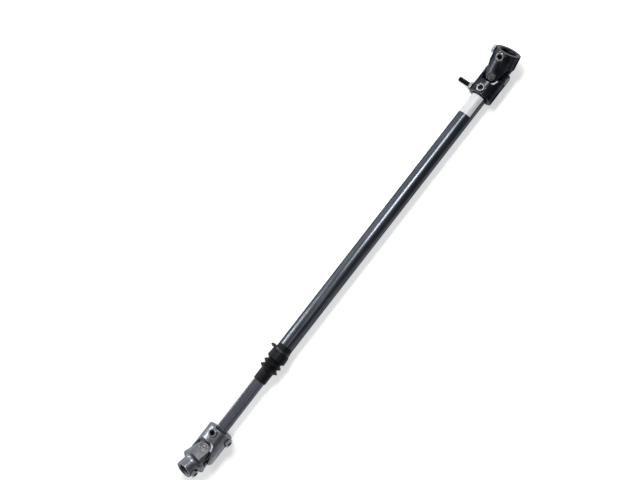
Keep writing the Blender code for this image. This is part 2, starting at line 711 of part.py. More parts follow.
def main():
    clear_scene()
    tube_steel = make_material("tube_steel", (0.11, 0.12, 0.14), 0.32, 0.9)
    bar_steel = make_material("bar_steel", (0.28, 0.29, 0.33), 0.3, 0.95)
    black_yoke = make_material("black_yoke", (0.03, 0.032, 0.036), 0.38, 0.6)
    grey_yoke = make_material("grey_yoke", (0.2, 0.21, 0.23), 0.42, 0.85)
    cap_steel = make_material("cap_steel", (0.25, 0.25, 0.26), 0.4, 0.9)
    plated = make_material("zinc_plate", (0.68, 0.7, 0.72), 0.28, 0.95)
    screw_steel = make_material("black_screw", (0.02, 0.02, 0.022), 0.4, 0.7)
    rubber = make_material("black_rubber", (0.012, 0.013, 0.015), 0.55, 0.0)
    nylon = make_material("black_nylon", (0.01, 0.01, 0.011), 0.45, 0.0)

    shaft = make_empty("shaft_axis", turn_deg=(-ROLL_DEG, 0, 0))
    slider = make_empty("slider_axis", shaft)
    make_tube(shaft, tube_steel)
    make_bar(slider, bar_steel)
    make_boot(shaft, rubber)
    make_tie(shaft, nylon)

    tube_grip = TUBE_RADIUS + FIT_GAP
    tube_end = Hub(
        bore=circle(tube_grip, LARGE_SEGMENTS),
        radius=YOKE_RADIUS,
        cap_top=ROUND_CAP_TOP,
        screws=[
            Screw("front", "Z", 1, tube_grip, None),
            Screw("side", "Y", -1, tube_grip, STUD_REACH),
        ],
    )
    column_end = Hub(
        bore=upright(double_d(UPPER_BORE_RADIUS, UPPER_BORE_ACROSS_FLATS)),
        radius=YOKE_RADIUS,
        cap_top=ROUND_CAP_TOP,
        screws=[
            Screw("front", "Y", 1, UPPER_BORE_ACROSS_FLATS / 2 - SCREW_INTO_BORE, None),
            Screw("side", "Z", -1, UPPER_BORE_RADIUS - SCREW_INTO_BORE, None),
        ],
    )
    bar_end = Hub(
        bore=double_d(BAR_RADIUS + FIT_GAP, BAR_ACROSS_FLATS + 2 * FIT_GAP),
        radius=YOKE_RADIUS,
        cap_top=ROUND_CAP_TOP,
        screws=[
            Screw("front", "Z", 1, BAR_ACROSS_FLATS / 2 + FIT_GAP, None),
            Screw("side", "Y", -1, BAR_RADIUS + FIT_GAP, None),
        ],
    )
    rack_end = Hub(
        bore=upright(double_d(LOWER_BORE_RADIUS, LOWER_BORE_ACROSS_FLATS)),
        radius=SLIM_HUB_RADIUS,
        cap_top=SLIM_CAP_TOP,
        screws=[Screw("side", "Z", -1, LOWER_BORE_RADIUS - SCREW_INTO_BORE, None)],
    )
    black = Finish(black_yoke, cap_steel, rubber, plated, screw_steel)
    grey = Finish(grey_yoke, cap_steel, rubber, plated, screw_steel)
    make_joint("upper", shaft, (HALF_SPAN, 0, 0), 0, UPPER_BEND_DEG, tube_end, column_end, black)
    make_joint("lower", slider, (-HALF_SPAN, 0, 0), 180, LOWER_BEND_DEG, bar_end, rack_end, grey)
    stand_on_origin(shaft)


main()
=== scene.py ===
# Intermediate steering shaft with a telescoping slide and two universal joints.
# Sizes are in millimetres in the piece's own frame and become metres as each mesh is made.

import json
import math

import bmesh
import bpy
from mathutils import Matrix, Vector


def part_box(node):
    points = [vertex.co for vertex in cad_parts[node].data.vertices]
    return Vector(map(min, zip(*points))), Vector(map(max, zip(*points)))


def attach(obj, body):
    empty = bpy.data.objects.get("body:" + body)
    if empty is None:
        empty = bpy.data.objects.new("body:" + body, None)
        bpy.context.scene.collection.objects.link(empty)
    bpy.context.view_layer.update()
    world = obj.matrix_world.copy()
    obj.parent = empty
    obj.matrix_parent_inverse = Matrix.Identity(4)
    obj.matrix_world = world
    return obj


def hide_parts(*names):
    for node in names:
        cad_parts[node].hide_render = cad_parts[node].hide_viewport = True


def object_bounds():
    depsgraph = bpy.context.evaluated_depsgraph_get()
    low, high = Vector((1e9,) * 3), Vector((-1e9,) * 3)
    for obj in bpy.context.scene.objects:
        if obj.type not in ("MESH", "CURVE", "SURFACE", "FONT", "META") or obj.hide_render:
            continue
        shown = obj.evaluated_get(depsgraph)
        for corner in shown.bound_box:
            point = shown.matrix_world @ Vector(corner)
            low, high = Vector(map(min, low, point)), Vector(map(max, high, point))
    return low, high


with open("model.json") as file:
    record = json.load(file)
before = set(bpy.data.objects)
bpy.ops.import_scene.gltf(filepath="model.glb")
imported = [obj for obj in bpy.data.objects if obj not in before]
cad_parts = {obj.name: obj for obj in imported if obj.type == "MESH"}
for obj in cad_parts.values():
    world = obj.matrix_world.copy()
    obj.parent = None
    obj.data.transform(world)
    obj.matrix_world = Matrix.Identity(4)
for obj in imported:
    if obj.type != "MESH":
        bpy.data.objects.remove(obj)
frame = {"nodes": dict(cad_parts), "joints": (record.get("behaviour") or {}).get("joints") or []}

cad_low, cad_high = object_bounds()

# Studio
# The shaft lies on a wide pale floor and is seen from nearly straight above, turned so that it
# runs from the lower left to the upper right. A strip on the upper left draws the streak along
# the tube, small strips light the black yokes, the boot and the bar, low soft boxes light the
# flanks, and one beyond the upper end lights the lower joint.

joint_named = {joint["name"]: joint for joint in frame["joints"]}
upper_centre = Vector(joint_named["upper_bend"]["pos_m"])
lower_centre = Vector(joint_named["lower_bend"]["pos_m"])
shaft_middle = (upper_centre + lower_centre) / 2

CAMERA_PLACE = Vector((-0.0509, 0.0623, 1.6087))
CAMERA_LENS_MM = 56.8
CAMERA_TURN_DEG = (1.35, -1.09, -52.14)
FLOOR_HALF = 6.0
FLOOR_DROP = 0.0003

camera_data = bpy.data.cameras.new("photo_camera")
camera_data.sensor_width = 36.0
camera_data.lens = CAMERA_LENS_MM
camera_data.clip_end = 100.0
camera = bpy.data.objects.new("photo_camera", camera_data)
camera.location = shaft_middle + CAMERA_PLACE
camera.rotation_euler = [math.radians(turn) for turn in CAMERA_TURN_DEG]
bpy.context.scene.collection.objects.link(camera)
bpy.context.scene.camera = camera
bpy.context.scene.view_settings.view_transform = "Standard"

FLOOR_COLOUR = (0.8, 0.805, 0.81)
FLOOR_GLOW = 0.5
WORLD_LEVEL = 0.14


def seen_directly(tree):
    """One where the eye or a mirror-like surface looks at this colour, and nought elsewhere."""
    path = tree.nodes.new("ShaderNodeLightPath")
    either = tree.nodes.new("ShaderNodeMath")
    either.operation = "MAXIMUM"
    tree.links.new(path.outputs["Is Camera Ray"], either.inputs[0])
    tree.links.new(path.outputs["Is Glossy Ray"], either.inputs[1])
    also = tree.nodes.new("ShaderNodeMath")
    also.operation = "MAXIMUM"
    tree.links.new(either.outputs[0], also.inputs[0])
    tree.links.new(path.outputs["Is Transmission Ray"], also.inputs[1])
    return also.outputs[0]


floor_mesh = bpy.data.meshes.new("studio_floor")
floor_corners = [(-1, -1), (1, -1), (1, 1), (-1, 1)]
floor_mesh.from_pydata([(x * FLOOR_HALF, y * FLOOR_HALF, 0) for x, y in floor_corners], [],
                       [(0, 1, 2, 3)])
floor = bpy.data.objects.new("studio_floor", floor_mesh)
floor.location.z = cad_low.z - FLOOR_DROP
bpy.context.scene.collection.objects.link(floor)

floor_paint = bpy.data.materials.new("floor_paint")
floor_paint.use_nodes = True
floor_tree = floor_paint.node_tree
floor_shader = floor_tree.nodes["Principled BSDF"]
floor_shader.inputs["Base Color"].default_value = (*FLOOR_COLOUR, 1)
floor_shader.inputs["Roughness"].default_value = 0.9
floor_shader.inputs["Specular IOR Level"].default_value = 0.1
floor_glow = floor_tree.nodes.new("ShaderNodeMath")
floor_glow.operation = "MULTIPLY"
floor_glow.inputs[1].default_value = FLOOR_GLOW
floor_tree.links.new(seen_directly(floor_tree), floor_glow.inputs[0])
floor_shader.inputs["Emission Color"].default_value = (1, 1, 1, 1)
floor_tree.links.new(floor_glow.outputs[0], floor_shader.inputs["Emission Strength"])
floor_mesh.materials.append(floor_paint)

world = bpy.data.worlds.new("studio_air")
bpy.context.scene.world = world
world.use_nodes = True
world.node_tree.nodes["Background"].inputs["Color"].default_value = (0.97, 0.98, 1, 1)
world.node_tree.nodes["Background"].inputs["Strength"].default_value = WORLD_LEVEL


def hang_lamp(name, length, width, place, aim, brightness):
    """A flat lamp aimed at a point. Brightness is the radiance of its face."""
    lamp = bpy.data.lights.new(name, "AREA")
    lamp.shape = "RECTANGLE"
    lamp.size = length
    lamp.size_y = width
    lamp.energy = brightness * math.pi * length * width
    fitting = bpy.data.objects.new(name, lamp)
    fitting.location = shaft_middle + place
    fitting.rotation_euler = (aim - place).to_track_quat("-Z", "Y").to_euler()
    fitting.visible_camera = False
    bpy.context.scene.collection.objects.link(fitting)


def soft_box(name, length, width, distance, lean_deg, brightness, along=0.0):
    """A lamp along the shaft and beside it: lean is away from overhead, to the upper left."""
    lean = math.radians(lean_deg)
    place = Vector((along, distance * math.sin(lean), distance * math.cos(lean)))
    hang_lamp(name, length, width, place, Vector((along, 0, 0)), brightness)


soft_box("upper_left_strip", 0.6, 0.25, 1.5, 26, 34, along=0.39)
soft_box("yoke_lamp", 0.22, 0.3, 1.5, 24, 9, along=0.84)
soft_box("boot_strip", 0.4, 0.12, 1.5, 14, 2.4, along=-0.1)
soft_box("bar_left_strip", 0.18, 0.5, 1.5, 78, 24, along=-0.53)
soft_box("bar_top_strip", 0.18, 0.3, 1.9, -4, 8, along=-0.53)
soft_box("lower_left_box", 0.9, 0.7, 1.6, 52, 0.6, along=-0.78)
soft_box("upper_left_box", 2.2, 0.9, 1.7, 72, 1.0)
soft_box("right_box", 0.9, 0.5, 1.4, -68, 0.6, along=-0.45)
hang_lamp("far_end_box", 2.1, 0.9, Vector((1.9, 0.55, 0.7)), Vector((-0.38, 0, 0)), 0.8)


# Outer tube
# Drawn steel tube, round outside and double-D inside, left in its dark satin coating. Its
# lower end is turned down for the boot's collar, and its upper end is held in the black yoke.

MM = 0.001
TUBE_RADIUS = 12.7
TUBE_REGISTER_RADIUS = 11.4
TUBE_REGISTER_LENGTH = 23.5
TUBE_EDGE = 0.8
TUBE_ROUND_STEPS = 128
BAR_RADIUS = 9.52
BAR_ACROSS_FLATS = 14.2
FIT_GAP = 0.3
CUT_OVERRUN = 1.0
WELD = 0.002


def own_frame(origin, along, across):
    """A piece's place in the shaft: its X runs along and its Y across."""
    turned = Matrix((along, across, along.cross(across))).transposed().to_4x4()
    return Matrix.Translation(origin) @ turned


def made_piece(name, bm, finish, where, body, stands_for):
    """Turns a drawing in millimetres into a piece that rides on its body."""
    bmesh.ops.scale(bm, vec=(MM, MM, MM), verts=bm.verts)
    bmesh.ops.recalc_face_normals(bm, faces=bm.faces)
    mesh = bpy.data.meshes.new(name)
    bm.to_mesh(mesh)
    bm.free()
    piece = bpy.data.objects.new(name, mesh)
    bpy.context.scene.collection.objects.link(piece)
    piece.matrix_world = where
    if finish is not None:
        mesh.materials.append(finish)
        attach(piece, body)
        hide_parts(*stands_for)
    return piece


def lathe(outline, steps):
    """A drawing spun about X from (along, radius) points."""
    bm = bmesh.new()
    rings = []
    for along, radius in outline:
        count = steps if radius > 0 else 1
        turns = [2 * math.pi * i / steps for i in range(count)]
        rings.append([
            bm.verts.new((along, radius * math.cos(a), radius * math.sin(a))) for a in turns
        ])
    for before, after in zip(rings, rings[1:] + rings[:1]):
        if len(before) == len(after) == 1:
            continue
        for i in range(steps):
            j = (i + 1) % steps
            corners = [before[i % len(before)], before[j % len(before)],
                       after[j % len(after)], after[i % len(after)]]
            bm.faces.new(list(dict.fromkeys(corners)))
    return bm


def bar_stock(outline, low, high):
    """A drawing drawn out along X from a flat (across, up) outline."""
    bm = bmesh.new()
    ends = [[bm.verts.new((x, u, v)) for u, v in outline] for x in (low, high)]
    for end in ends:
        bm.faces.new(end)
    for i in range(len(outline)):
        bm.faces.new((ends[0][i - 1], ends[0][i], ends[1][i], ends[1][i - 1]))
    return bm


def bridge(bm, rows):
    """A skin over closed rows of points, with its two ends."""
    for before, after in zip(rows, rows[1:]):
        for k in range(len(before)):
            bm.faces.new((before[k - 1], before[k], after[k], after[k - 1]))
    bm.faces.new(rows[0])
    bm.faces.new(rows[-1])


def arc(centre, radius, start_deg, end_deg, steps):
    turns = [math.radians(start_deg + (end_deg - start_deg) * i / steps) for i in range(steps + 1)]
    return [(centre[0] + radius * math.cos(a), centre[1] + radius * math.sin(a)) for a in turns]


def double_d(radius, across_flats, steps=24):
    half = math.degrees(math.asin(across_flats / 2 / radius))
    right = arc((0, 0), radius, -half, half, steps)
    return right + arc((0, 0), radius, 180 - half, 180 + half, steps)


def rounded(outline, radius, steps=3):
    """The same outline with each inner corner turned into a small arc."""
    points = [Vector(p) for p in outline]
    soft = [outline[0]]
    for before, corner, after in zip(points, points[1:], points[2:]):
        into, out = before - corner, after - corner
        reach = min(radius, into.length * 0.45, out.length * 0.45)
        start, end = corner + into.normalized() * reach, corner + out.normalized() * reach
        for i in range(steps + 1):
            t = i / steps
            soft.append(tuple((1 - t) ** 2 * start + 2 * t * (1 - t) * corner + t * t * end))
    return soft + [outline[-1]]


def cut(piece, bm, operation="DIFFERENCE", turn=Matrix.Identity(4)):
    """Cuts, joins or trims a piece with a tool in its own frame, and welds hairline seams."""
    bmesh.ops.transform(bm, matrix=turn, verts=bm.verts)
    tool = made_piece("tool", bm, None, piece.matrix_world.copy(), None, ())
    bpy.context.view_layer.update()
    step = piece.modifiers.new("step", "BOOLEAN")
    step.operation = operation
    step.solver = "EXACT"
    step.object = tool
    graph = bpy.context.evaluated_depsgraph_get()
    shaped = bpy.data.meshes.new_from_object(piece.evaluated_get(graph))
    piece.modifiers.clear()
    clean = bmesh.new()
    clean.from_mesh(shaped)
    bmesh.ops.remove_doubles(clean, verts=clean.verts, dist=WELD * MM)
    bmesh.ops.dissolve_degenerate(clean, edges=clean.edges, dist=WELD * MM)
    clean.to_mesh(shaped)
    clean.free()
    piece.data = shaped
    bpy.data.objects.remove(tool, do_unlink=True)


def square_up(piece):
    """Turns a finished piece's axes to the shaft's, so that its box is no bigger than it is."""
    centre = piece.matrix_world.translation.copy()
    piece.data.transform(piece.matrix_world.to_3x3().to_4x4())
    piece.matrix_world = Matrix.Translation(centre)


def soften(piece, width, steps=2, angle_deg=32.0):
    """Breaks the sharp edges as a deburring wheel would, and shades what is round smooth."""
    square_up(piece)
    piece.data.shade_smooth()
    edge = piece.modifiers.new("broken_edges", "BEVEL")
    edge.width = width * MM
    edge.segments = steps
    edge.limit_method = "ANGLE"
    edge.angle_limit = math.radians(angle_deg)
    edge.harden_normals = True
    edge.use_clamp_overlap = True


def smooth_round(piece, angle_deg=30.0):
    square_up(piece)
    piece.data.shade_smooth()
    piece.data.set_sharp_from_angle(angle=math.radians(angle_deg))


def finish_of(name, colour, roughness, metallic=1.0, edge_tint=None):
    material = bpy.data.materials.new(name)
    material.use_nodes = True
    shader = material.node_tree.nodes["Principled BSDF"]
    shader.inputs["Base Color"].default_value = (*colour, 1)
    shader.inputs["Roughness"].default_value = roughness
    shader.inputs["Metallic"].default_value = metallic
    if edge_tint:
        shader.inputs["Specular Tint"].default_value = (*edge_tint, 1)
    return material


def own_axes(material, turns_a_metre, where):
    """A place on the piece along its own three axes, which the finished mesh no longer has."""
    tree = material.node_tree
    place = tree.nodes.new("ShaderNodeTexCoord")
    turned = tree.nodes.new("ShaderNodeMapping")
    turned.vector_type = "TEXTURE"
    turned.inputs["Rotation"].default_value = where.to_euler()
    turned.inputs["Scale"].default_value = [1 / turns for turns in turns_a_metre]
    tree.links.new(place.outputs["Object"], turned.inputs["Vector"])
    return turned.outputs["Vector"]


def grain(material, turns_a_metre, detail=5.0, roughness=0.6, where=Matrix.Identity(4)):
    """Noise that is stretched along the tool's path by its turns a metre on each axis."""
    tree = material.node_tree
    noise = tree.nodes.new("ShaderNodeTexNoise")
    noise.inputs["Scale"].default_value = 1.0
    noise.inputs["Detail"].default_value = detail
    noise.inputs["Roughness"].default_value = roughness
    tree.links.new(own_axes(material, turns_a_metre, where), noise.inputs["Vector"])
    return noise.outputs["Fac"]


def spread(material, driver, from_low, from_high, to_low, to_high):
    tree = material.node_tree
    reach = tree.nodes.new("ShaderNodeMapRange")
    for word, value in (("From Min", from_low), ("From Max", from_high),
                        ("To Min", to_low), ("To Max", to_high)):
        reach.inputs[word].default_value = value
    tree.links.new(driver, reach.inputs["Value"])
    return reach.outputs["Result"]


def tinted(material, share, under, over):
    """Mixes two colours, each a plain colour or the outcome of an earlier mix."""
    tree = material.node_tree
    mix = tree.nodes.new("ShaderNodeMix")
    mix.data_type = "RGBA"
    tree.links.new(share, mix.inputs["Factor"])
    for socket, colour in ((mix.inputs[6], under), (mix.inputs[7], over)):
        if isinstance(colour, tuple):
            socket.default_value = (*colour, 1)
        else:
            tree.links.new(colour, socket)
    return mix.outputs[2]


def wears(material, word, value):
    tree = material.node_tree
    tree.links.new(value, tree.nodes["Principled BSDF"].inputs[word])


def gloss(material, driver, smooth, rough):
    """Lets noise carry the roughness from one value to the other."""
    wears(material, "Roughness", spread(material, driver, 0.3, 0.7, smooth, rough))


def relief(material, height, depth_mm, strength=1.0, over=None):
    """Fine height on the surface, in millimetres, over an earlier relief."""
    tree = material.node_tree
    bump = tree.nodes.new("ShaderNodeBump")
    bump.inputs["Strength"].default_value = strength
    bump.inputs["Distance"].default_value = depth_mm * MM
    tree.links.new(height, bump.inputs["Height"])
    if over is not None:
        tree.links.new(over, bump.inputs["Normal"])
    tree.links.new(bump.outputs["Normal"], tree.nodes["Principled BSDF"].inputs["Normal"])
    return bump.outputs["Normal"]


roll_side = -Vector(joint_named["lower_bend"]["axis"])
shaft_place = own_frame(shaft_middle, Vector((1, 0, 0)), roll_side)
tube_low, tube_high = (corner.x - shaft_middle.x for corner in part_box("outer_tube"))
tube_low, tube_high = tube_low / MM, tube_high / MM
register_end = tube_low + TUBE_REGISTER_LENGTH

drawn_tube = finish_of("drawn_tube_coating", (0.09, 0.098, 0.115), 0.28, 1.0, (0.15, 0.16, 0.18))
tube_streaks = grain(drawn_tube, (14, 900, 900), 6)
tube_cloud = grain(drawn_tube, (35, 60, 60), 3)
tube_scuffs = grain(drawn_tube, (160, 420, 420), 8, 0.75)
tube_tone = tinted(drawn_tube, spread(drawn_tube, tube_cloud, 0.35, 0.65, 0, 1),
                   (0.08, 0.088, 0.104), (0.105, 0.115, 0.134))
tube_tone = tinted(drawn_tube, spread(drawn_tube, tube_streaks, 0.5, 0.8, 0, 0.4),
                   tube_tone, (0.14, 0.15, 0.17))
tube_tone = tinted(drawn_tube, spread(drawn_tube, tube_scuffs, 0.66, 0.74, 0, 0.5),
                   tube_tone, (0.2, 0.21, 0.225))
wears(drawn_tube, "Base Color", tube_tone)
gloss(drawn_tube, tube_streaks, 0.24, 0.36)
tube_relief = relief(drawn_tube, tube_streaks, 0.003, 0.4)
relief(drawn_tube, tube_scuffs, 0.005, 0.3, tube_relief)

tube_outline = rounded([
    (tube_high, 0),
    (tube_high, TUBE_RADIUS),
    (register_end, TUBE_RADIUS),
    (register_end, TUBE_REGISTER_RADIUS),
    (tube_low, TUBE_REGISTER_RADIUS),
    (tube_low, 0),
], TUBE_EDGE)
tube = made_piece("tube_drawn", lathe(tube_outline, TUBE_ROUND_STEPS), drawn_tube, shaft_place,
                  "tube_body", ["outer_tube"])
bar_bore = double_d(BAR_RADIUS + FIT_GAP, BAR_ACROSS_FLATS + 2 * FIT_GAP)
cut(tube, bar_stock(bar_bore, tube_low - CUT_OVERRUN, tube_high + CUT_OVERRUN))
smooth_round(tube)


# Sliding bar
# Solid double-D bar, drawn to size and oiled. Its two flats carry the turning load into the
# tube's bore, and their long edges are rounded.

BAR_EDGE = 0.8
BAR_CORNER = 1.0

oiled_bar = finish_of("oiled_bar_steel", (0.13, 0.137, 0.165), 0.26, 1.0, (0.15, 0.16, 0.18))
bar_lines = grain(oiled_bar, (12, 1300, 1300), 5)
bar_tone = tinted(oiled_bar, spread(oiled_bar, bar_lines, 0.3, 0.7, 0, 1),
                  (0.095, 0.1, 0.125), (0.17, 0.18, 0.21))
bar_spots = grain(oiled_bar, (220, 330, 330), 7, 0.7)
wears(oiled_bar, "Base Color", tinted(oiled_bar, spread(oiled_bar, bar_spots, 0.6, 0.72, 0, 0.45),
                                      bar_tone, (0.06, 0.06, 0.075)))
gloss(oiled_bar, bar_lines, 0.2, 0.34)
relief(oiled_bar, bar_lines, 0.008, 0.4)

bar_low, bar_high = ((corner.x - shaft_middle.x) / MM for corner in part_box("inner_bar"))
bar_half = BAR_ACROSS_FLATS / 2
flat_turn = math.asin(bar_half / BAR_RADIUS)
round_deg = math.degrees(flat_turn - BAR_CORNER / BAR_RADIUS)
round_side = arc((0, 0), BAR_RADIUS, -round_deg, round_deg, 40)
flat_end = BAR_RADIUS * math.cos(flat_turn)
corner_points = [round_side[-1], (flat_end, bar_half), (flat_end - 2 * BAR_CORNER, bar_half)]
corner_curve = rounded(corner_points, BAR_CORNER, 8)[1:-1]
half_section = [(x, -z) for x, z in corner_curve[::-1]] + round_side + corner_curve
bar_section = half_section + [(-x, -z) for x, z in half_section]
bar = made_piece("bar_drawn", bar_stock(bar_section, bar_low, bar_high), oiled_bar, shaft_place,
                 "slider_body", ["inner_bar"])
soften(bar, BAR_EDGE, 3)


# White label
# Bare vinyl sticker wrapped round the tube just below the black yoke. It is pressed down in
# the middle, and its ends lift a little where the glue has let go.

LABEL_LOW_X = 298.0
LABEL_HIGH_X = 334.5
LABEL_START_DEG = -10.0
LABEL_END_DEG = 142.0
LABEL_THICKNESS = 0.12
LABEL_GLUE = 0.03
LABEL_LIFT = 0.35
LABEL_LIFT_DEG = 14.0
LABEL_STEPS = 70

label_vinyl = finish_of("label_vinyl", (0.64, 0.645, 0.66), 0.42, 0.0)
label_fibre = grain(label_vinyl, (700, 700, 700), 4)
gloss(label_vinyl, label_fibre, 0.32, 0.46)
label_grey = grain(label_vinyl, (90, 140, 140), 5)
label_tone = tinted(label_vinyl, spread(label_vinyl, label_grey, 0.45, 0.75, 0, 1),
                    (0.62, 0.625, 0.64), (0.5, 0.51, 0.53))
wears(label_vinyl, "Base Color", label_tone)
relief(label_vinyl, label_grey, 0.05, 0.4)

label_bm = bmesh.new()
label_rows = []
for i in range(LABEL_STEPS + 1):
    turn_deg = LABEL_START_DEG + (LABEL_END_DEG - LABEL_START_DEG) * i / LABEL_STEPS
    from_end = min(turn_deg - LABEL_START_DEG, LABEL_END_DEG - turn_deg)
    lift = LABEL_LIFT * max(0.0, 1 - from_end / LABEL_LIFT_DEG) ** 2
    turn = math.radians(turn_deg)
    low_radius = TUBE_RADIUS + LABEL_GLUE + lift
    row = [
        label_bm.verts.new((x, radius * math.cos(turn), radius * math.sin(turn)))
        for x, radius in ((LABEL_LOW_X, low_radius), (LABEL_HIGH_X, low_radius),
                          (LABEL_HIGH_X, low_radius + LABEL_THICKNESS),
                          (LABEL_LOW_X, low_radius + LABEL_THICKNESS))
    ]
    label_rows.append(row)
bridge(label_bm, label_rows)
label = made_piece("label_white", label_bm, label_vinyl, shaft_place, "tube_body", [])
smooth_round(label, 40)


# Dust boot
# Moulded rubber boot: a collar on the tube's turned seat, a groove for the tie, a flare, three
# sharp folds, and a neck that wipes the bar as it slides. Two mould seams run along it.

BOOT_WALL = 1.2
BOOT_COLLAR_LENGTH = 26.0
BOOT_COLLAR_RADIUS = 13.1
BOOT_FLARE_RADIUS = 15.2
BOOT_TIE_START = 7.2
BOOT_TIE_SEAT = 5.8
BOOT_FOLD_COUNT = 3
BOOT_FOLD_PITCH = 9.5
BOOT_FOLD_SLOPE = 4.0
BOOT_PEAK_RADIUS = 16.4
BOOT_VALLEY_RADIUS = 11.9
BOOT_LIP = 0.5
BOOT_NECK_RADIUS = 11.1
BOOT_NECK_LENGTH = 20.0
BOOT_ROUND_STEPS = 128

boot_rubber = finish_of("boot_rubber", (0.011, 0.012, 0.014), 0.5, 0.0)
boot_pores = grain(boot_rubber, (1500, 1500, 1500), 4)
boot_haze = grain(boot_rubber, (120, 200, 200), 5)
boot_tone = tinted(boot_rubber, spread(boot_rubber, boot_haze, 0.45, 0.75, 0, 1),
                   (0.004, 0.0045, 0.006), (0.012, 0.013, 0.016))
wears(boot_rubber, "Base Color", boot_tone)
gloss(boot_rubber, boot_haze, 0.4, 0.6)
boot_rubber.node_tree.nodes["Principled BSDF"].inputs["Specular IOR Level"].default_value = 0.15
relief(boot_rubber, boot_pores, 0.05, 0.5)

tie_seat_end = BOOT_TIE_START + BOOT_TIE_SEAT
tie_groove = BOOT_COLLAR_RADIUS - BOOT_LIP
boot_outer = [
    (0, BOOT_COLLAR_RADIUS - BOOT_LIP),
    (BOOT_TIE_START, BOOT_COLLAR_RADIUS),
    (BOOT_TIE_START, tie_groove),
    (tie_seat_end, tie_groove),
    (tie_seat_end, BOOT_FLARE_RADIUS),
]
for fold in range(BOOT_FOLD_COUNT):
    crest = BOOT_COLLAR_LENGTH + fold * BOOT_FOLD_PITCH
    boot_outer.append((crest - BOOT_LIP, BOOT_PEAK_RADIUS - BOOT_LIP / 2))
    boot_outer.append((crest + BOOT_LIP, BOOT_PEAK_RADIUS))
    if fold < BOOT_FOLD_COUNT - 1:
        boot_outer.append((crest + BOOT_FOLD_SLOPE, BOOT_VALLEY_RADIUS))
        boot_outer.append((crest + BOOT_FOLD_SLOPE + 2 * BOOT_LIP, BOOT_VALLEY_RADIUS))
neck_start = BOOT_COLLAR_LENGTH + (BOOT_FOLD_COUNT - 1) * BOOT_FOLD_PITCH + BOOT_FOLD_SLOPE
neck_end = neck_start + BOOT_NECK_LENGTH
boot_outer += [(neck_start, BOOT_NECK_RADIUS), (neck_end, BOOT_NECK_RADIUS)]
boot_inner = [(0, TUBE_REGISTER_RADIUS + FIT_GAP),
              (TUBE_REGISTER_LENGTH + 2 * FIT_GAP, TUBE_REGISTER_RADIUS + FIT_GAP)]
boot_inner += [(s, max(r - BOOT_WALL, BAR_RADIUS + FIT_GAP)) for s, r in boot_outer
               if boot_inner[1][0] < s < neck_start]
boot_inner += [(neck_start, BAR_RADIUS + FIT_GAP), (neck_end, BAR_RADIUS + FIT_GAP)]
boot_closed = boot_inner[:1] + rounded(boot_outer, BOOT_LIP, 4) + boot_inner[:0:-1]
boot_outline = [(register_end - s, r) for s, r in boot_closed]
boot = made_piece("boot_moulded", lathe(boot_outline, BOOT_ROUND_STEPS), boot_rubber, shaft_place,
                  "tube_body", ["dust_boot"])
smooth_round(boot, 28)

SEAM_HEIGHT = 0.16
SEAM_HALF_WIDTH = 0.22


def mould_seam(name, turn_deg):
    """The thin line of flash that the two halves of the mould leave along the boot."""
    bm = bmesh.new()
    line = rounded([(register_end - s, r) for s, r in boot_outer[4:]], BOOT_LIP, 2)
    rows = [
        (bm.verts.new((x, -SEAM_HALF_WIDTH, r - SEAM_HEIGHT)),
         bm.verts.new((x, 0, r + SEAM_HEIGHT)),
         bm.verts.new((x, SEAM_HALF_WIDTH, r - SEAM_HEIGHT)))
        for x, r in line
    ]
    bridge(bm, rows)
    bmesh.ops.transform(bm, matrix=Matrix.Rotation(math.radians(turn_deg), 4, "X"), verts=bm.verts)
    seam = made_piece(name, bm, boot_rubber, shaft_place, "tube_body", [])
    smooth_round(seam, 60)


mould_seam("boot_seam_a", 38)
mould_seam("boot_seam_b", 218)


# Cable tie
# Black nylon tie pulled tight round the boot's collar. The strap has its ratchet teeth inside,
# so its back is plain with raised edges, and the cut tail stands out of the lock head.

TIE_WIDTH = 4.6
TIE_THICKNESS = 1.1
TIE_HEAD_WIDTH = 6.0
TIE_HEAD_DEPTH = 5.2
TIE_HEAD_OUT = 21.5
TIE_HEAD_TURN_DEG = -68.0
TIE_TAIL_WIDTH = 3.6
TIE_TAIL_THICKNESS = 1.4
TIE_TAIL_LENGTH = 2.4
TIE_RIM = 0.5
TIE_RIM_HEIGHT = 0.25
TIE_CORNER = 0.18
TIE_EDGE = 0.22
TIE_SLOT_DEPTH = 1.6
TIE_SLOT_SLACK = (0.35, 0.3)
TIE_TAIL_FOOT = 2.2
TAIL_TEETH = 5
TAIL_TOOTH_SHARE = 0.9
TAIL_TOOTH_DEPTH = 0.3
TAIL_EDGE = 0.06

tie_nylon = finish_of("tie_nylon", (0.009, 0.009, 0.01), 0.42, 0.0)
nylon_flow = grain(tie_nylon, (500, 500, 500), 4)
gloss(tie_nylon, nylon_flow, 0.34, 0.5)
relief(tie_nylon, nylon_flow, 0.03, 0.4)

tie_middle = register_end - BOOT_TIE_START - BOOT_TIE_SEAT / 2
tie_low = tie_groove + FIT_GAP
tie_high = tie_low + TIE_THICKNESS
tie_half = TIE_WIDTH / 2
tie_hollow = tie_high - TIE_RIM_HEIGHT
tie_band = rounded([
    (-tie_half, tie_low), (-tie_half, tie_high), (-tie_half + TIE_RIM, tie_high),
    (-tie_half + 2 * TIE_RIM, tie_hollow), (tie_half - 2 * TIE_RIM, tie_hollow),
    (tie_half - TIE_RIM, tie_high), (tie_half, tie_high), (tie_half, tie_low),
], TIE_CORNER)
tie_turn = Matrix.Rotation(math.radians(TIE_HEAD_TURN_DEG), 4, "X")
tie_place = shaft_place @ Matrix.Translation((tie_middle * MM, 0, 0)) @ tie_turn
tie = made_piece("tie_moulded", lathe(tie_band, BOOT_ROUND_STEPS), tie_nylon, tie_place,
                 "tube_body", ["cable_tie"])
ON_Z = Matrix.Rotation(math.radians(-90), 4, "Y")
ON_Y = Matrix.Rotation(math.radians(90), 4, "Z")


def block(half_wide, half_high):
    return [(-half_wide, -half_high), (half_wide, -half_high),
            (half_wide, half_high), (-half_wide, half_high)]


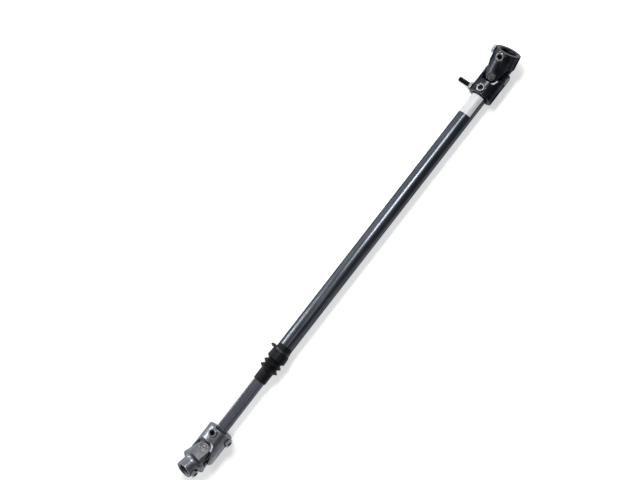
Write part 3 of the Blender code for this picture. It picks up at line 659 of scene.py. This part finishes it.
tie_foot = (tie_low + tie_high) / 2
tie_head_top = TIE_HEAD_OUT - TIE_TAIL_LENGTH
tie_head = block(TIE_HEAD_WIDTH / 2, TIE_HEAD_DEPTH / 2)
cut(tie, bar_stock(tie_head, tie_foot, tie_head_top), "UNION", ON_Z)
tie_slot = block(TIE_TAIL_THICKNESS / 2 + TIE_SLOT_SLACK[0], TIE_TAIL_WIDTH / 2 + TIE_SLOT_SLACK[1])
cut(tie, bar_stock(tie_slot, tie_head_top - TIE_SLOT_DEPTH, tie_head_top + CUT_OVERRUN),
    "DIFFERENCE", ON_Z)
soften(tie, TIE_EDGE)

tail_outline = []
tail_low, tail_high = tie_head_top - TIE_TAIL_FOOT, TIE_HEAD_OUT
for tooth in range(TAIL_TEETH):
    start = tail_low + (tail_high - tail_low) * tooth / TAIL_TEETH
    end = tail_low + (tail_high - tail_low) * (tooth + TAIL_TOOTH_SHARE) / TAIL_TEETH
    tail_outline += [(start, TIE_TAIL_THICKNESS / 2 - TAIL_TOOTH_DEPTH),
                     (end, TIE_TAIL_THICKNESS / 2)]
tail_outline += [(tail_high, -TIE_TAIL_THICKNESS / 2), (tail_low, -TIE_TAIL_THICKNESS / 2)]
tail_half = TIE_TAIL_WIDTH / 2
tail_bm = bar_stock([(y, z) for z, y in tail_outline], -tail_half, tail_half)
tie_tail = made_piece("tie_cut_tail", tail_bm, tie_nylon, tie_place, "tube_body", [])
soften(tie_tail, TAIL_EDGE, 1)


# Yokes of both joints
# Each joint has two forged yokes, set a quarter turn apart on the cross. The upper pair is
# machined all over and blackened; the lower pair is left raw, and its hub is necked down with
# flats milled across its ears. The ends of the hubs are faced, and their bores are double-D.

YOKE_LENGTH = 44.0
YOKE_RADIUS = 21.5
YOKE_EDGE = 0.94
EAR_INNER_HALF = 13.0
EAR_TIP_RADIUS = 10.5
EAR_ROOT_HALF = 17.0
EAR_NOSE_RADIUS = 22.0
EAR_BORE_RADIUS = 7.3
THROAT_X = 21.0
THROAT_CORNER = 4.0
SHOULDER_CORNER = 3.0
SLIM_HUB_RADIUS = 14.5
SLIM_SHOULDER_X = 23.0
SLIM_NECK_X = 31.0
SLIM_EAR_FLAT = 18.6
UPPER_BORE = (12.8, 20.6)
LOWER_BORE = (9.6, 14.4)
BORE_CHAMFER = 1.8
SCREW_RADIUS = 3.9
SCREW_X = 36.0
SCREW_HOLE_START = 2.0
SPOT_FACE_RADIUS = 8.15
SPOT_FACE_DEPTH = 1.0
EAR_RELIEF = 2.0
EAR_RELIEF_RUN_OUT = 5.0
EAR_RELIEF_CLEAR = 0.2
YOKE_BROKEN_EDGE = 0.35
YOKE_ROUND_STEPS = 128
GRIP_ROUND_STEPS = 96
FAR = 1.5 * YOKE_RADIUS


def rod(radius, low, high, steps=64):
    return lathe([(low, 0), (low, radius), (high, radius), (high, 0)], steps)


def cone(start, end, start_radius, end_radius, steps=64):
    return lathe([(start, 0), (start, start_radius), (end, end_radius), (end, 0)], steps)


def signed(bm, sign):
    """The same tool on the other side of the joint's centre."""
    if sign < 0:
        bmesh.ops.scale(bm, vec=(-1, 1, 1), verts=bm.verts)
    return bm


def ear_sides():
    """What is milled away beside the ears, seen along their trunnions."""
    corner = THROAT_X - SHOULDER_CORNER
    root = EAR_ROOT_HALF + SHOULDER_CORNER
    lean = math.degrees(math.atan2(EAR_ROOT_HALF - EAR_TIP_RADIUS, corner))
    fillet = arc((corner, root), SHOULDER_CORNER, 0, -90, 10)
    upper = [(THROAT_X, FAR)] + fillet
    lower = [(x, -z) for x, z in upper[::-1]]
    tip = arc((0, 0), EAR_TIP_RADIUS, 90 + lean, 270 - lean, 40)
    outline = upper + tip + lower + [(-FAR, -FAR), (-FAR, FAR)]
    return bar_stock([(-x, z) for x, z in outline], -FAR, FAR)


def ear_slot():
    """The slot between the ears, milled with a round-cornered cutter."""
    x, y = THROAT_X - THROAT_CORNER, EAR_INNER_HALF - THROAT_CORNER
    corner = arc((x, y), THROAT_CORNER, 0, 90, 10)
    outline = [(u, -v) for u, v in corner[::-1]] + corner
    outline += [(-FAR, EAR_INNER_HALF), (-FAR, -EAR_INNER_HALF)]
    return bar_stock([(y, -x) for x, y in outline], -FAR, FAR)


def relief_cutter(side_y, side_z):
    """A square bar laid cornerwise on an ear's inner edge, pointed where it runs out."""
    turn = math.radians(90) + math.atan2(EAR_ROOT_HALF - EAR_TIP_RADIUS, THROAT_X - SHOULDER_CORNER)
    tip = Vector((EAR_TIP_RADIUS * math.cos(turn), EAR_INNER_HALF, EAR_TIP_RADIUS * math.sin(turn)))
    root = Vector((THROAT_X - SHOULDER_CORNER, EAR_INNER_HALF, EAR_ROOT_HALF))
    along = (root - tip).normalized()
    out, across = Vector((-along.z, 0, along.x)), Vector((0, 1, 0))
    run_out = THROAT_X - THROAT_CORNER
    bm = bmesh.new()
    rings = []
    for x in (-FAR, run_out - EAR_RELIEF_RUN_OUT):
        middle = tip + along * ((x - tip.x) / along.x)
        rings.append([bm.verts.new(middle + EAR_RELIEF * d) for d in (across, out, -across, -out)])
    end = tip + along * ((run_out - tip.x) / along.x)
    point = bm.verts.new(end + EAR_RELIEF_CLEAR * (out - across))
    bm.faces.new(rings[0])
    for k in range(4):
        bm.faces.new((rings[0][k - 1], rings[0][k], rings[1][k], rings[1][k - 1]))
        bm.faces.new((rings[1][k - 1], rings[1][k], point))
    bmesh.ops.scale(bm, vec=(1, side_y, side_z), verts=bm.verts)
    return bm


def yoke_outline(hub_radius):
    meet = math.degrees(math.acos(YOKE_RADIUS / EAR_NOSE_RADIUS))
    tip = math.degrees(math.asin(EAR_TIP_RADIUS / EAR_NOSE_RADIUS))
    nose = arc((0, 0), EAR_NOSE_RADIUS, 90 + tip, 90 + meet, 16)
    outline = [(nose[0][0], 0)] + nose
    if hub_radius < YOKE_RADIUS:
        drop, run = YOKE_RADIUS - hub_radius, SLIM_NECK_X - SLIM_SHOULDER_X
        sweep = [math.radians(90 * i / 14) for i in range(15)]
        outline += [(SLIM_NECK_X - run * math.cos(a), YOKE_RADIUS - drop * math.sin(a))
                    for a in sweep]
    return outline + rounded([(YOKE_LENGTH - 2, hub_radius), (YOKE_LENGTH, hub_radius),
                              (YOKE_LENGTH, 0)], YOKE_EDGE, 5)


def forge_yoke(name, where, hub_radius, bore, screws, finish, body, stands_for):
    """One yoke in its own frame: ears on Y, hub towards +X, screws as (axis turn, side)."""
    yoke = made_piece(name, lathe(yoke_outline(hub_radius), YOKE_ROUND_STEPS), finish, where,
                      body, stands_for)
    if hub_radius < YOKE_RADIUS:
        window = [(FAR, -FAR), (FAR, FAR), (-SLIM_SHOULDER_X, FAR), (-SLIM_SHOULDER_X, -FAR)]
        for sign in (1, -1):
            low, high = sorted((sign * SLIM_EAR_FLAT, sign * FAR))
            cut(yoke, bar_stock(window, low, high), turn=ON_Y)
    cut(yoke, ear_sides(), turn=ON_Y)
    cut(yoke, ear_slot(), turn=ON_Z)
    for side_y in (1, -1):
        for side_z in (1, -1):
            cut(yoke, relief_cutter(side_y, side_z))
    cut(yoke, rod(EAR_BORE_RADIUS, -FAR, FAR), turn=ON_Y)
    cut(yoke, bar_stock(bore, THROAT_X - THROAT_CORNER, YOKE_LENGTH + CUT_OVERRUN))
    widest = max(math.hypot(u, v) for u, v in bore)
    cut(yoke, cone(YOKE_LENGTH - BORE_CHAMFER - CUT_OVERRUN, YOKE_LENGTH + CUT_OVERRUN,
                   widest - CUT_OVERRUN, widest + BORE_CHAMFER + CUT_OVERRUN))
    for turn, sign in screws:
        place = Matrix.Translation((SCREW_X, 0, 0)) @ turn
        seat = hub_radius - SPOT_FACE_DEPTH
        cut(yoke, signed(rod(SPOT_FACE_RADIUS, seat, FAR), sign), turn=place)
        hole = rod(SCREW_RADIUS + FIT_GAP, SCREW_HOLE_START, FAR, 48)
        cut(yoke, signed(hole, sign), turn=place)
    soften(yoke, YOKE_BROKEN_EDGE)


def faced(material, where):
    """One on the flat end that looks along the yoke's own X, nought elsewhere."""
    tree = material.node_tree
    place = tree.nodes.new("ShaderNodeTexCoord")
    along = tree.nodes.new("ShaderNodeVectorMath")
    along.operation = "DOT_PRODUCT"
    along.inputs[1].default_value = where.to_3x3().col[0]
    tree.links.new(place.outputs["Normal"], along.inputs[0])
    return spread(material, along.outputs["Value"], 0.9, 0.99, 0, 1)


def tool_rings(material, rings_a_metre, wander, where):
    """The fine circles that the facing tool leaves round the yoke's axis."""
    tree = material.node_tree
    rings = tree.nodes.new("ShaderNodeTexWave")
    rings.wave_type = "RINGS"
    rings.rings_direction = "X"
    rings.inputs["Scale"].default_value = rings_a_metre
    rings.inputs["Distortion"].default_value = wander
    rings.inputs["Detail"].default_value = 2.0
    tree.links.new(own_axes(material, (1, 1, 1), where), rings.inputs["Vector"])
    return rings.outputs["Fac"]


def worn_edges(material, width_mm=0.6):
    """One along the edges, where handling has rubbed the finish."""
    tree = material.node_tree
    across = tree.nodes.new("ShaderNodeBevel")
    across.samples = 6
    across.inputs["Radius"].default_value = width_mm * MM
    plain = tree.nodes.new("ShaderNodeNewGeometry")
    bend = tree.nodes.new("ShaderNodeVectorMath")
    bend.operation = "DOT_PRODUCT"
    tree.links.new(across.outputs["Normal"], bend.inputs[0])
    tree.links.new(plain.outputs["Normal"], bend.inputs[1])
    return spread(material, bend.outputs["Value"], 0.99, 0.9, 0, 1)


def blackened(name, where):
    """Black oxide over turned steel, rubbed grey on its edges, with bare faced ends."""
    material = finish_of(name, (0.01, 0.011, 0.013), 0.28, 1.0, (0.3, 0.3, 0.32))
    cloud = grain(material, (90, 90, 90), 5)
    turned = grain(material, (1200, 90, 90), 4, where=where)
    tone = tinted(material, spread(material, cloud, 0.4, 0.75, 0, 1),
                  (0.028, 0.03, 0.036), (0.07, 0.076, 0.088))
    tone = tinted(material, worn_edges(material), tone, (0.22, 0.23, 0.245))
    tone = tinted(material, faced(material, where), tone, (0.2, 0.205, 0.2))
    wears(material, "Base Color", tone)
    gloss(material, cloud, 0.22, 0.34)
    first = relief(material, turned, 0.02, 0.5)
    relief(material, tool_rings(material, 900, 1.0, where), 0.012, 0.4, first)
    return material


def bare_forging(name, where):
    """Raw forged steel: milled where it is flat, sawn and rougher on its ends."""
    material = finish_of(name, (0.15, 0.158, 0.175), 0.36, 1.0, (0.45, 0.47, 0.5))
    cloud = grain(material, (70, 70, 70), 6)
    skin = grain(material, (900, 900, 900), 6, 0.7)
    turned = grain(material, (1400, 80, 80), 4, where=where)
    tone = tinted(material, spread(material, cloud, 0.35, 0.7, 0, 1),
                  (0.19, 0.2, 0.222), (0.26, 0.273, 0.3))
    tone = tinted(material, spread(material, skin, 0.55, 0.75, 0, 0.6), tone, (0.12, 0.127, 0.14))
    tone = tinted(material, worn_edges(material, 0.9), tone, (0.6, 0.62, 0.65))
    tone = tinted(material, faced(material, where), tone, (0.26, 0.27, 0.25))
    wears(material, "Base Color", tone)
    gloss(material, skin, 0.28, 0.46)
    first = relief(material, turned, 0.02, 0.6)
    relief(material, skin, 0.05, 0.5, first)
    return material


def upright(section):
    return [(v, u) for u, v in section[::-1]]


def joint_frames(side):
    """The places of a joint's shaft yoke, cross and hub yoke, read from its two hinges."""
    centre = Vector(joint_named[f"{side}_bend"]["pos_m"])
    across = Vector(joint_named[f"{side}_bend"]["axis"]).normalized()
    up = Vector(joint_named[f"{side}_swing"]["axis"]).normalized()
    out = across.cross(up)
    inward = Vector((-1 if side == "upper" else 1, 0, 0))
    return (own_frame(centre, inward, -across), own_frame(centre, out, across),
            own_frame(centre, out, up))


FRONT_Z, SIDE_Y = (ON_Z, 1), (ON_Y, -1)
FRONT_Y, SIDE_Z = (ON_Y, 1), (ON_Z, -1)
tube_grip = arc((0, 0), TUBE_RADIUS + FIT_GAP, 0, 360 - 360 / GRIP_ROUND_STEPS,
                GRIP_ROUND_STEPS - 1)
upper_shaft_place, upper_cross_place, upper_hub_place = joint_frames("upper")
lower_shaft_place, lower_cross_place, lower_hub_place = joint_frames("lower")

black_shaft_finish = blackened("black_oxide_shaft_yoke", upper_shaft_place)
black_hub_finish = blackened("black_oxide_hub_yoke", upper_hub_place)
grey_shaft_finish = bare_forging("forged_grey_shaft_yoke", lower_shaft_place)
grey_hub_finish = bare_forging("forged_grey_hub_yoke", lower_hub_place)

forge_yoke("upper_shaft_yoke_black", upper_shaft_place, YOKE_RADIUS, tube_grip, [FRONT_Z, SIDE_Y],
           black_shaft_finish, "tube_body", ["upper_shaft_yoke"])
forge_yoke("upper_hub_yoke_black", upper_hub_place, YOKE_RADIUS, upright(double_d(*UPPER_BORE)),
           [FRONT_Y, SIDE_Z], black_hub_finish, "upper_hub_body", ["upper_hub_yoke"])
forge_yoke("lower_shaft_yoke_grey", lower_shaft_place, YOKE_RADIUS, bar_bore, [FRONT_Z, SIDE_Y],
           grey_shaft_finish, "slider_body", ["lower_shaft_yoke"])
forge_yoke("lower_hub_yoke_grey", lower_hub_place, SLIM_HUB_RADIUS, upright(double_d(*LOWER_BORE)),
           [SIDE_Z], grey_hub_finish, "lower_hub_body", ["lower_hub_yoke"])


# Crosses, bearing cups and seals
# The cross is a small forging with four ground trunnions. Each trunnion runs on needle rollers
# in a pressed cup, and the cups are held in the ears by stakes punched round their rims.

TRUNNION_RADIUS = 4.0
CROSS_SHOULDER_RADIUS = 6.4
CROSS_SHOULDER_HALF = 9.6
CROSS_CORE_RADIUS = 8.0
NEEDLE_DIAMETER = 1.1
CAP_WALL = 1.3
CAP_FLOOR = 1.3
CAP_RECESS = 0.7
SEAL_RADIUS = 6.6
CAP_BORE_RADIUS = TRUNNION_RADIUS + NEEDLE_DIAMETER + 2 * FIT_GAP
CAP_RADIUS = CAP_BORE_RADIUS + CAP_WALL
CAP_OPEN = EAR_INNER_HALF + FIT_GAP
CUP_FACE = [(0.35, 0), (0.35, 1.2), (0.1, 1.9), (0.1, 3.9), (0.35, 4.3), (0.35, 4.9), (0, 5.4)]
CUP_ROUND = 0.45
CROSS_CORE_ROUND = 1.2
CROSS_ROUND = 0.5
STAKE_COUNT = 4
STAKE_RADIUS = 1.0
STAKE_SHAPE = (1.1, 0.3, 0.75)
STAKE_START_DEG = 45
STAKE_OUT = 0.15
STAKE_RISE = 0.05
SEAL_GROOVE = 0.5
SEAL_ROUND = 0.4


def pressed_steel(name, dark, light, rubbed):
    """Pressed and hardened steel, cloudy from the quench and rubbed bright on its rims."""
    material = finish_of(name, dark, 0.42, 1.0)
    fine = grain(material, (600, 600, 600), 6)
    tone = tinted(material, spread(material, grain(material, (180, 180, 180), 4), 0.35, 0.7, 0, 1),
                  dark, light)
    wears(material, "Base Color", tinted(material, worn_edges(material, 0.4), tone, rubbed))
    gloss(material, fine, 0.34, 0.52)
    relief(material, fine, 0.02, 0.5)
    return material


dark_cup = pressed_steel("cup_steel_oiled", (0.07, 0.071, 0.074), (0.13, 0.131, 0.135),
                         (0.4, 0.41, 0.42))
bare_cup = pressed_steel("cup_steel_bare", (0.2, 0.197, 0.192), (0.32, 0.315, 0.305),
                         (0.55, 0.55, 0.54))

seal_rubber = finish_of("seal_rubber", (0.012, 0.012, 0.013), 0.5, 0.0)
seal_pores = grain(seal_rubber, (1500, 1500, 1500), 3)
gloss(seal_rubber, seal_pores, 0.42, 0.6)
relief(seal_rubber, seal_pores, 0.03, 0.4)


def forge_cross(side, place, shaft_top, hub_top, finish):
    under_floor = CAP_FLOOR + FIT_GAP
    core = rounded([(-CROSS_SHOULDER_RADIUS, 0), (-CROSS_SHOULDER_RADIUS, CROSS_CORE_RADIUS),
                    (CROSS_SHOULDER_RADIUS, CROSS_CORE_RADIUS), (CROSS_SHOULDER_RADIUS, 0)],
                   CROSS_CORE_ROUND, 4)
    cross = made_piece(f"{side}_cross_forged", lathe(core, 64), finish, place,
                       f"{side}_cross_body", [f"{side}_cross"])
    for turn, top in ((ON_Y, shaft_top), (ON_Z, hub_top)):
        reach = top - under_floor
        right = rounded([(0, CROSS_SHOULDER_RADIUS), (CROSS_SHOULDER_HALF, CROSS_SHOULDER_RADIUS),
                         (CROSS_SHOULDER_HALF, TRUNNION_RADIUS), (reach, TRUNNION_RADIUS),
                         (reach, 0)], CROSS_ROUND)[1:]
        left = [(-x, r) for x, r in right[::-1]]
        cut(cross, lathe(left + right, 64), "UNION", turn)
    soften(cross, CROSS_ROUND, 3)


def press_cup(name, place, sign, top, finish, body, node):
    """A bearing cup in its ear, with a shallow dish, a centre mark and a rolled rim."""
    floor = top - CAP_FLOOR
    outside = rounded([(top - depth, radius) for depth, radius in CUP_FACE] + [
        (top, CAP_RADIUS), (CAP_OPEN, CAP_RADIUS), (CAP_OPEN, CAP_BORE_RADIUS),
    ], CUP_ROUND, 3)
    outline = outside + [(floor, CAP_BORE_RADIUS), (floor, 0)]
    bm = lathe([(sign * x, r) for x, r in outline], 72)
    bmesh.ops.transform(bm, matrix=ON_Y, verts=bm.verts)
    cup = made_piece(name, bm, finish, place, body, [node])
    smooth_round(cup, 40)


def punch_stakes(name, place, sign, top, finish, body):
    """Metal pushed over a cup's rim from the ear, in four short chisel marks."""
    bm = bmesh.new()
    out = CAP_RADIUS + STAKE_OUT
    for i in range(STAKE_COUNT):
        turn = math.radians(STAKE_START_DEG + 360 * i / STAKE_COUNT)
        lump = bmesh.ops.create_icosphere(bm, subdivisions=3, radius=STAKE_RADIUS)["verts"]
        bmesh.ops.scale(bm, vec=STAKE_SHAPE, verts=lump)
        bmesh.ops.rotate(bm, cent=(0, 0, 0), matrix=Matrix.Rotation(-turn, 3, "Y"), verts=lump)
        spot = (out * math.cos(turn), sign * (top + STAKE_RISE), out * math.sin(turn))
        bmesh.ops.translate(bm, vec=spot, verts=lump)
    stakes = made_piece(name, bm, finish, place, body, [])
    smooth_round(stakes, 60)


def mould_seal(name, place, turn, sign, body, node):
    """The ring between the cross's shoulder and the cup, with a rounded lip."""
    low, high = CROSS_SHOULDER_HALF + FIT_GAP, CAP_OPEN - FIT_GAP
    inner = TRUNNION_RADIUS + FIT_GAP
    lip = rounded([(low, inner), (low, SEAL_RADIUS), ((low + high) / 2, SEAL_RADIUS),
                   ((low + high) / 2, SEAL_RADIUS - SEAL_GROOVE), (high, SEAL_RADIUS),
                   (high, inner)], SEAL_ROUND)
    bm = lathe([(sign * x, r) for x, r in lip], 64)
    bmesh.ops.transform(bm, matrix=turn, verts=bm.verts)
    seal = made_piece(name, bm, seal_rubber, place, body, [node])
    smooth_round(seal, 40)


round_top = YOKE_RADIUS - CAP_RECESS
slim_top = SLIM_EAR_FLAT - CAP_RECESS
for side, shaft_yoke_place, cross_place, hub_place, hub_top, shaft_body, finishes, cup, slot in (
    ("upper", upper_shaft_place, upper_cross_place, upper_hub_place, round_top, "tube_body",
     (black_shaft_finish, black_hub_finish), dark_cup, "black_yoke"),
    ("lower", lower_shaft_place, lower_cross_place, lower_hub_place, slim_top, "slider_body",
     (grey_shaft_finish, grey_hub_finish), bare_cup, "grey_yoke"),
):
    forge_cross(side, cross_place, round_top, hub_top, cup)
    for word, sign in (("a", 1), ("b", -1)):
        for end, place, turn, top, body, finish in (
            ("shaft", shaft_yoke_place, ON_Y, round_top, shaft_body, finishes[0]),
            ("hub", hub_place, ON_Z, hub_top, f"{side}_hub_body", finishes[1]),
        ):
            press_cup(f"{side}_{end}_cup_{word}", place, sign, top, cup, body,
                      f"{side}_{end}_cap_{word}")
            punch_stakes(f"{side}_{end}_stakes_{word}", place, sign, top, finish, body)
            mould_seal(f"{side}_{end}_lip_{word}", cross_place, turn, sign,
                       f"{side}_cross_body", f"{side}_{end}_seal_{word}")
            needles = frame["nodes"][f"{side}_{end}_needles_{word}"]
            needles.data.materials.clear()
            needles.data.materials.append(cup)


# Set screws and jam nuts
# Black socket set screws clamp each hub on its shaft, and each is locked by a thin zinc-plated
# nut. One of them is a long stud, left standing out so that it can be reached in the car.

SCREW_PITCH = 1.3
THREAD_DEPTH = 0.42
SCREW_SOCKET_ACROSS = 4.0
SCREW_SOCKET_DEPTH = 4.0
SCREW_BELOW_NUT_TOP = 1.6
SCREW_POINT_STEP = 0.35
SCREW_IN_BORE = 1.0
STUD_REACH = 47.0
NUT_ACROSS = 12.7
NUT_THICKNESS = 4.8
NUT_CHAMFER_DEG = 30.0
NUT_HOLE_RADIUS = SCREW_RADIUS + FIT_GAP + 0.02
NUT_HOLE_LEAD = 0.45
NUT_WASHER_STEP = 0.25
NUT_CORNER_OVER = 0.3
NUT_EDGE = 0.16
THREAD_STEPS = 48
THREAD_ROWS = 8
THREAD_RUN_OUT = 0.5
THREAD_FOOT = 0.92
THREAD_FLANK = 0.74

zinc_plate = finish_of("zinc_plate", (0.4, 0.41, 0.42), 0.2, 1.0)
zinc_cloud = grain(zinc_plate, (260, 260, 260), 6)
zinc_lines = grain(zinc_plate, (900, 900, 900), 5)
zinc_tone = tinted(zinc_plate, spread(zinc_plate, zinc_cloud, 0.4, 0.7, 0, 1),
                   (0.36, 0.37, 0.38), (0.22, 0.23, 0.245))
wears(zinc_plate, "Base Color", zinc_tone)
gloss(zinc_plate, zinc_cloud, 0.24, 0.36)
relief(zinc_plate, zinc_lines, 0.01, 0.4)

screw_black = finish_of("screw_black", (0.02, 0.02, 0.022), 0.36, 1.0, (0.3, 0.3, 0.32))
screw_cloud = grain(screw_black, (500, 500, 500), 5)
screw_tone = tinted(screw_black, spread(screw_black, screw_cloud, 0.45, 0.75, 0, 1),
                    (0.016, 0.016, 0.018), (0.05, 0.05, 0.054))
wears(screw_black, "Base Color", screw_tone)
gloss(screw_black, screw_cloud, 0.28, 0.46)
relief(screw_black, screw_cloud, 0.02, 0.4)


def thread_ridge(share):
    """Height of a thread across one turn: flat crest, straight flanks, narrow root."""
    away = abs(share - 0.5) * 2
    return min(1.0, max(0.0, (THREAD_FOOT - away) / THREAD_FLANK))


def threaded_rows(bm, low, high):
    """Rings of a helical thread that runs out at both ends."""
    count = max(2, round((high - low) / SCREW_PITCH * THREAD_ROWS))
    rows = []
    for k in range(count + 1):
        x = low + (high - low) * k / count
        fade = min(1.0, (x - low) / THREAD_RUN_OUT, (high - x) / THREAD_RUN_OUT)
        ring = []
        for i in range(THREAD_STEPS):
            share = (x / SCREW_PITCH - i / THREAD_STEPS) % 1.0
            radius = SCREW_RADIUS - THREAD_DEPTH + THREAD_DEPTH * thread_ridge(share) * fade
            turn = 2 * math.pi * i / THREAD_STEPS
            ring.append(bm.verts.new((x, radius * math.cos(turn), radius * math.sin(turn))))
        rows.append(ring)
    for before, after in zip(rows, rows[1:]):
        for i in range(THREAD_STEPS):
            j = (i + 1) % THREAD_STEPS
            bm.faces.new((before[i], before[j], after[j], after[i]))
    return rows


def hexagon(across):
    """The corners of a hexagon and how far they stand from its middle."""
    corner = across / 2 / math.cos(math.radians(30))
    return arc((0, 0), corner, 0, 300, 5), corner


def cut_screw(name, place, turn, sign, start, top, body, node):
    """A set screw with a real thread, a dog point and a hexagon socket."""
    bm = bmesh.new()
    point = SCREW_RADIUS - THREAD_DEPTH - SCREW_POINT_STEP
    turns = [2 * math.pi * i / THREAD_STEPS for i in range(THREAD_STEPS)]
    rows = threaded_rows(bm, start + THREAD_RUN_OUT, top - THREAD_RUN_OUT)
    for ring, x in ((rows[0], start), (rows[-1], top)):
        cap = [bm.verts.new((x, point * math.cos(a), point * math.sin(a))) for a in turns]
        for i in range(THREAD_STEPS):
            j = (i + 1) % THREAD_STEPS
            bm.faces.new((ring[i], ring[j], cap[j], cap[i]))
        bm.faces.new(cap)
    bmesh.ops.recalc_face_normals(bm, faces=bm.faces)
    if sign < 0:
        half_turn = Matrix.Rotation(math.pi, 3, "Z")
        bmesh.ops.rotate(bm, cent=(0, 0, 0), matrix=half_turn, verts=bm.verts)
    stand = place @ Matrix.Translation((SCREW_X * MM, 0, 0)) @ turn
    screw = made_piece(name, bm, screw_black, stand, body, [node])
    low, high = sorted((sign * (top - SCREW_SOCKET_DEPTH), sign * (top + CUT_OVERRUN)))
    cut(screw, bar_stock(hexagon(SCREW_SOCKET_ACROSS)[0], low, high))
    smooth_round(screw, 35)


def make_nut(name, place, turn, sign, seat, body, node):
    """A jam nut: chamfered on both faces, with a washer face and a threaded hole."""
    low, high = seat + FIT_GAP, seat + FIT_GAP + NUT_THICKNESS
    sides, corner = hexagon(NUT_ACROSS)
    flat, over = NUT_ACROSS / 2 - NUT_WASHER_STEP, corner + NUT_CORNER_OVER
    drop = (over - flat) * math.tan(math.radians(NUT_CHAMFER_DEG))
    mouth = NUT_HOLE_RADIUS + NUT_HOLE_LEAD
    outline = [(low, mouth), (low, flat), (low + drop, over), (high - drop, over), (high, flat),
               (high, mouth), (high - NUT_HOLE_LEAD, NUT_HOLE_RADIUS),
               (low + NUT_HOLE_LEAD, NUT_HOLE_RADIUS)]
    stand = place @ Matrix.Translation((SCREW_X * MM, 0, 0)) @ turn
    bm = lathe([(sign * x, r) for x, r in outline], 96)
    nut = made_piece(name, bm, zinc_plate, stand, body, [node])
    low_end, high_end = sorted((sign * (low - CUT_OVERRUN), sign * (high + CUT_OVERRUN)))
    cut(nut, bar_stock(sides, low_end, high_end), "INTERSECT")
    soften(nut, NUT_EDGE, 2, 20)


grip = TUBE_RADIUS + FIT_GAP
for name, place, (turn, sign), hub_radius, start, body, top in (
    ("upper_shaft_front", upper_shaft_place, FRONT_Z, YOKE_RADIUS, grip, "tube_body", None),
    ("upper_shaft_side", upper_shaft_place, SIDE_Y, YOKE_RADIUS, grip, "tube_body", STUD_REACH),
    ("upper_hub_front", upper_hub_place, FRONT_Y, YOKE_RADIUS, UPPER_BORE[1] / 2 - SCREW_IN_BORE,
     "upper_hub_body", None),
    ("upper_hub_side", upper_hub_place, SIDE_Z, YOKE_RADIUS, UPPER_BORE[0] - SCREW_IN_BORE,
     "upper_hub_body", None),
    ("lower_shaft_front", lower_shaft_place, FRONT_Z, YOKE_RADIUS, bar_half + FIT_GAP,
     "slider_body", None),
    ("lower_shaft_side", lower_shaft_place, SIDE_Y, YOKE_RADIUS, BAR_RADIUS + FIT_GAP,
     "slider_body", None),
    ("lower_hub_side", lower_hub_place, SIDE_Z, SLIM_HUB_RADIUS, LOWER_BORE[0] - SCREW_IN_BORE,
     "lower_hub_body", None),
):
    seat = hub_radius - SPOT_FACE_DEPTH
    flush = seat + FIT_GAP + NUT_THICKNESS - SCREW_BELOW_NUT_TOP
    make_nut(f"{name}_zinc_nut", place, turn, sign, seat, body, f"{name}_jam_nut")
    cut_screw(f"{name}_black_screw", place, turn, sign, start, top or flush, body,
              f"{name}_set_screw")
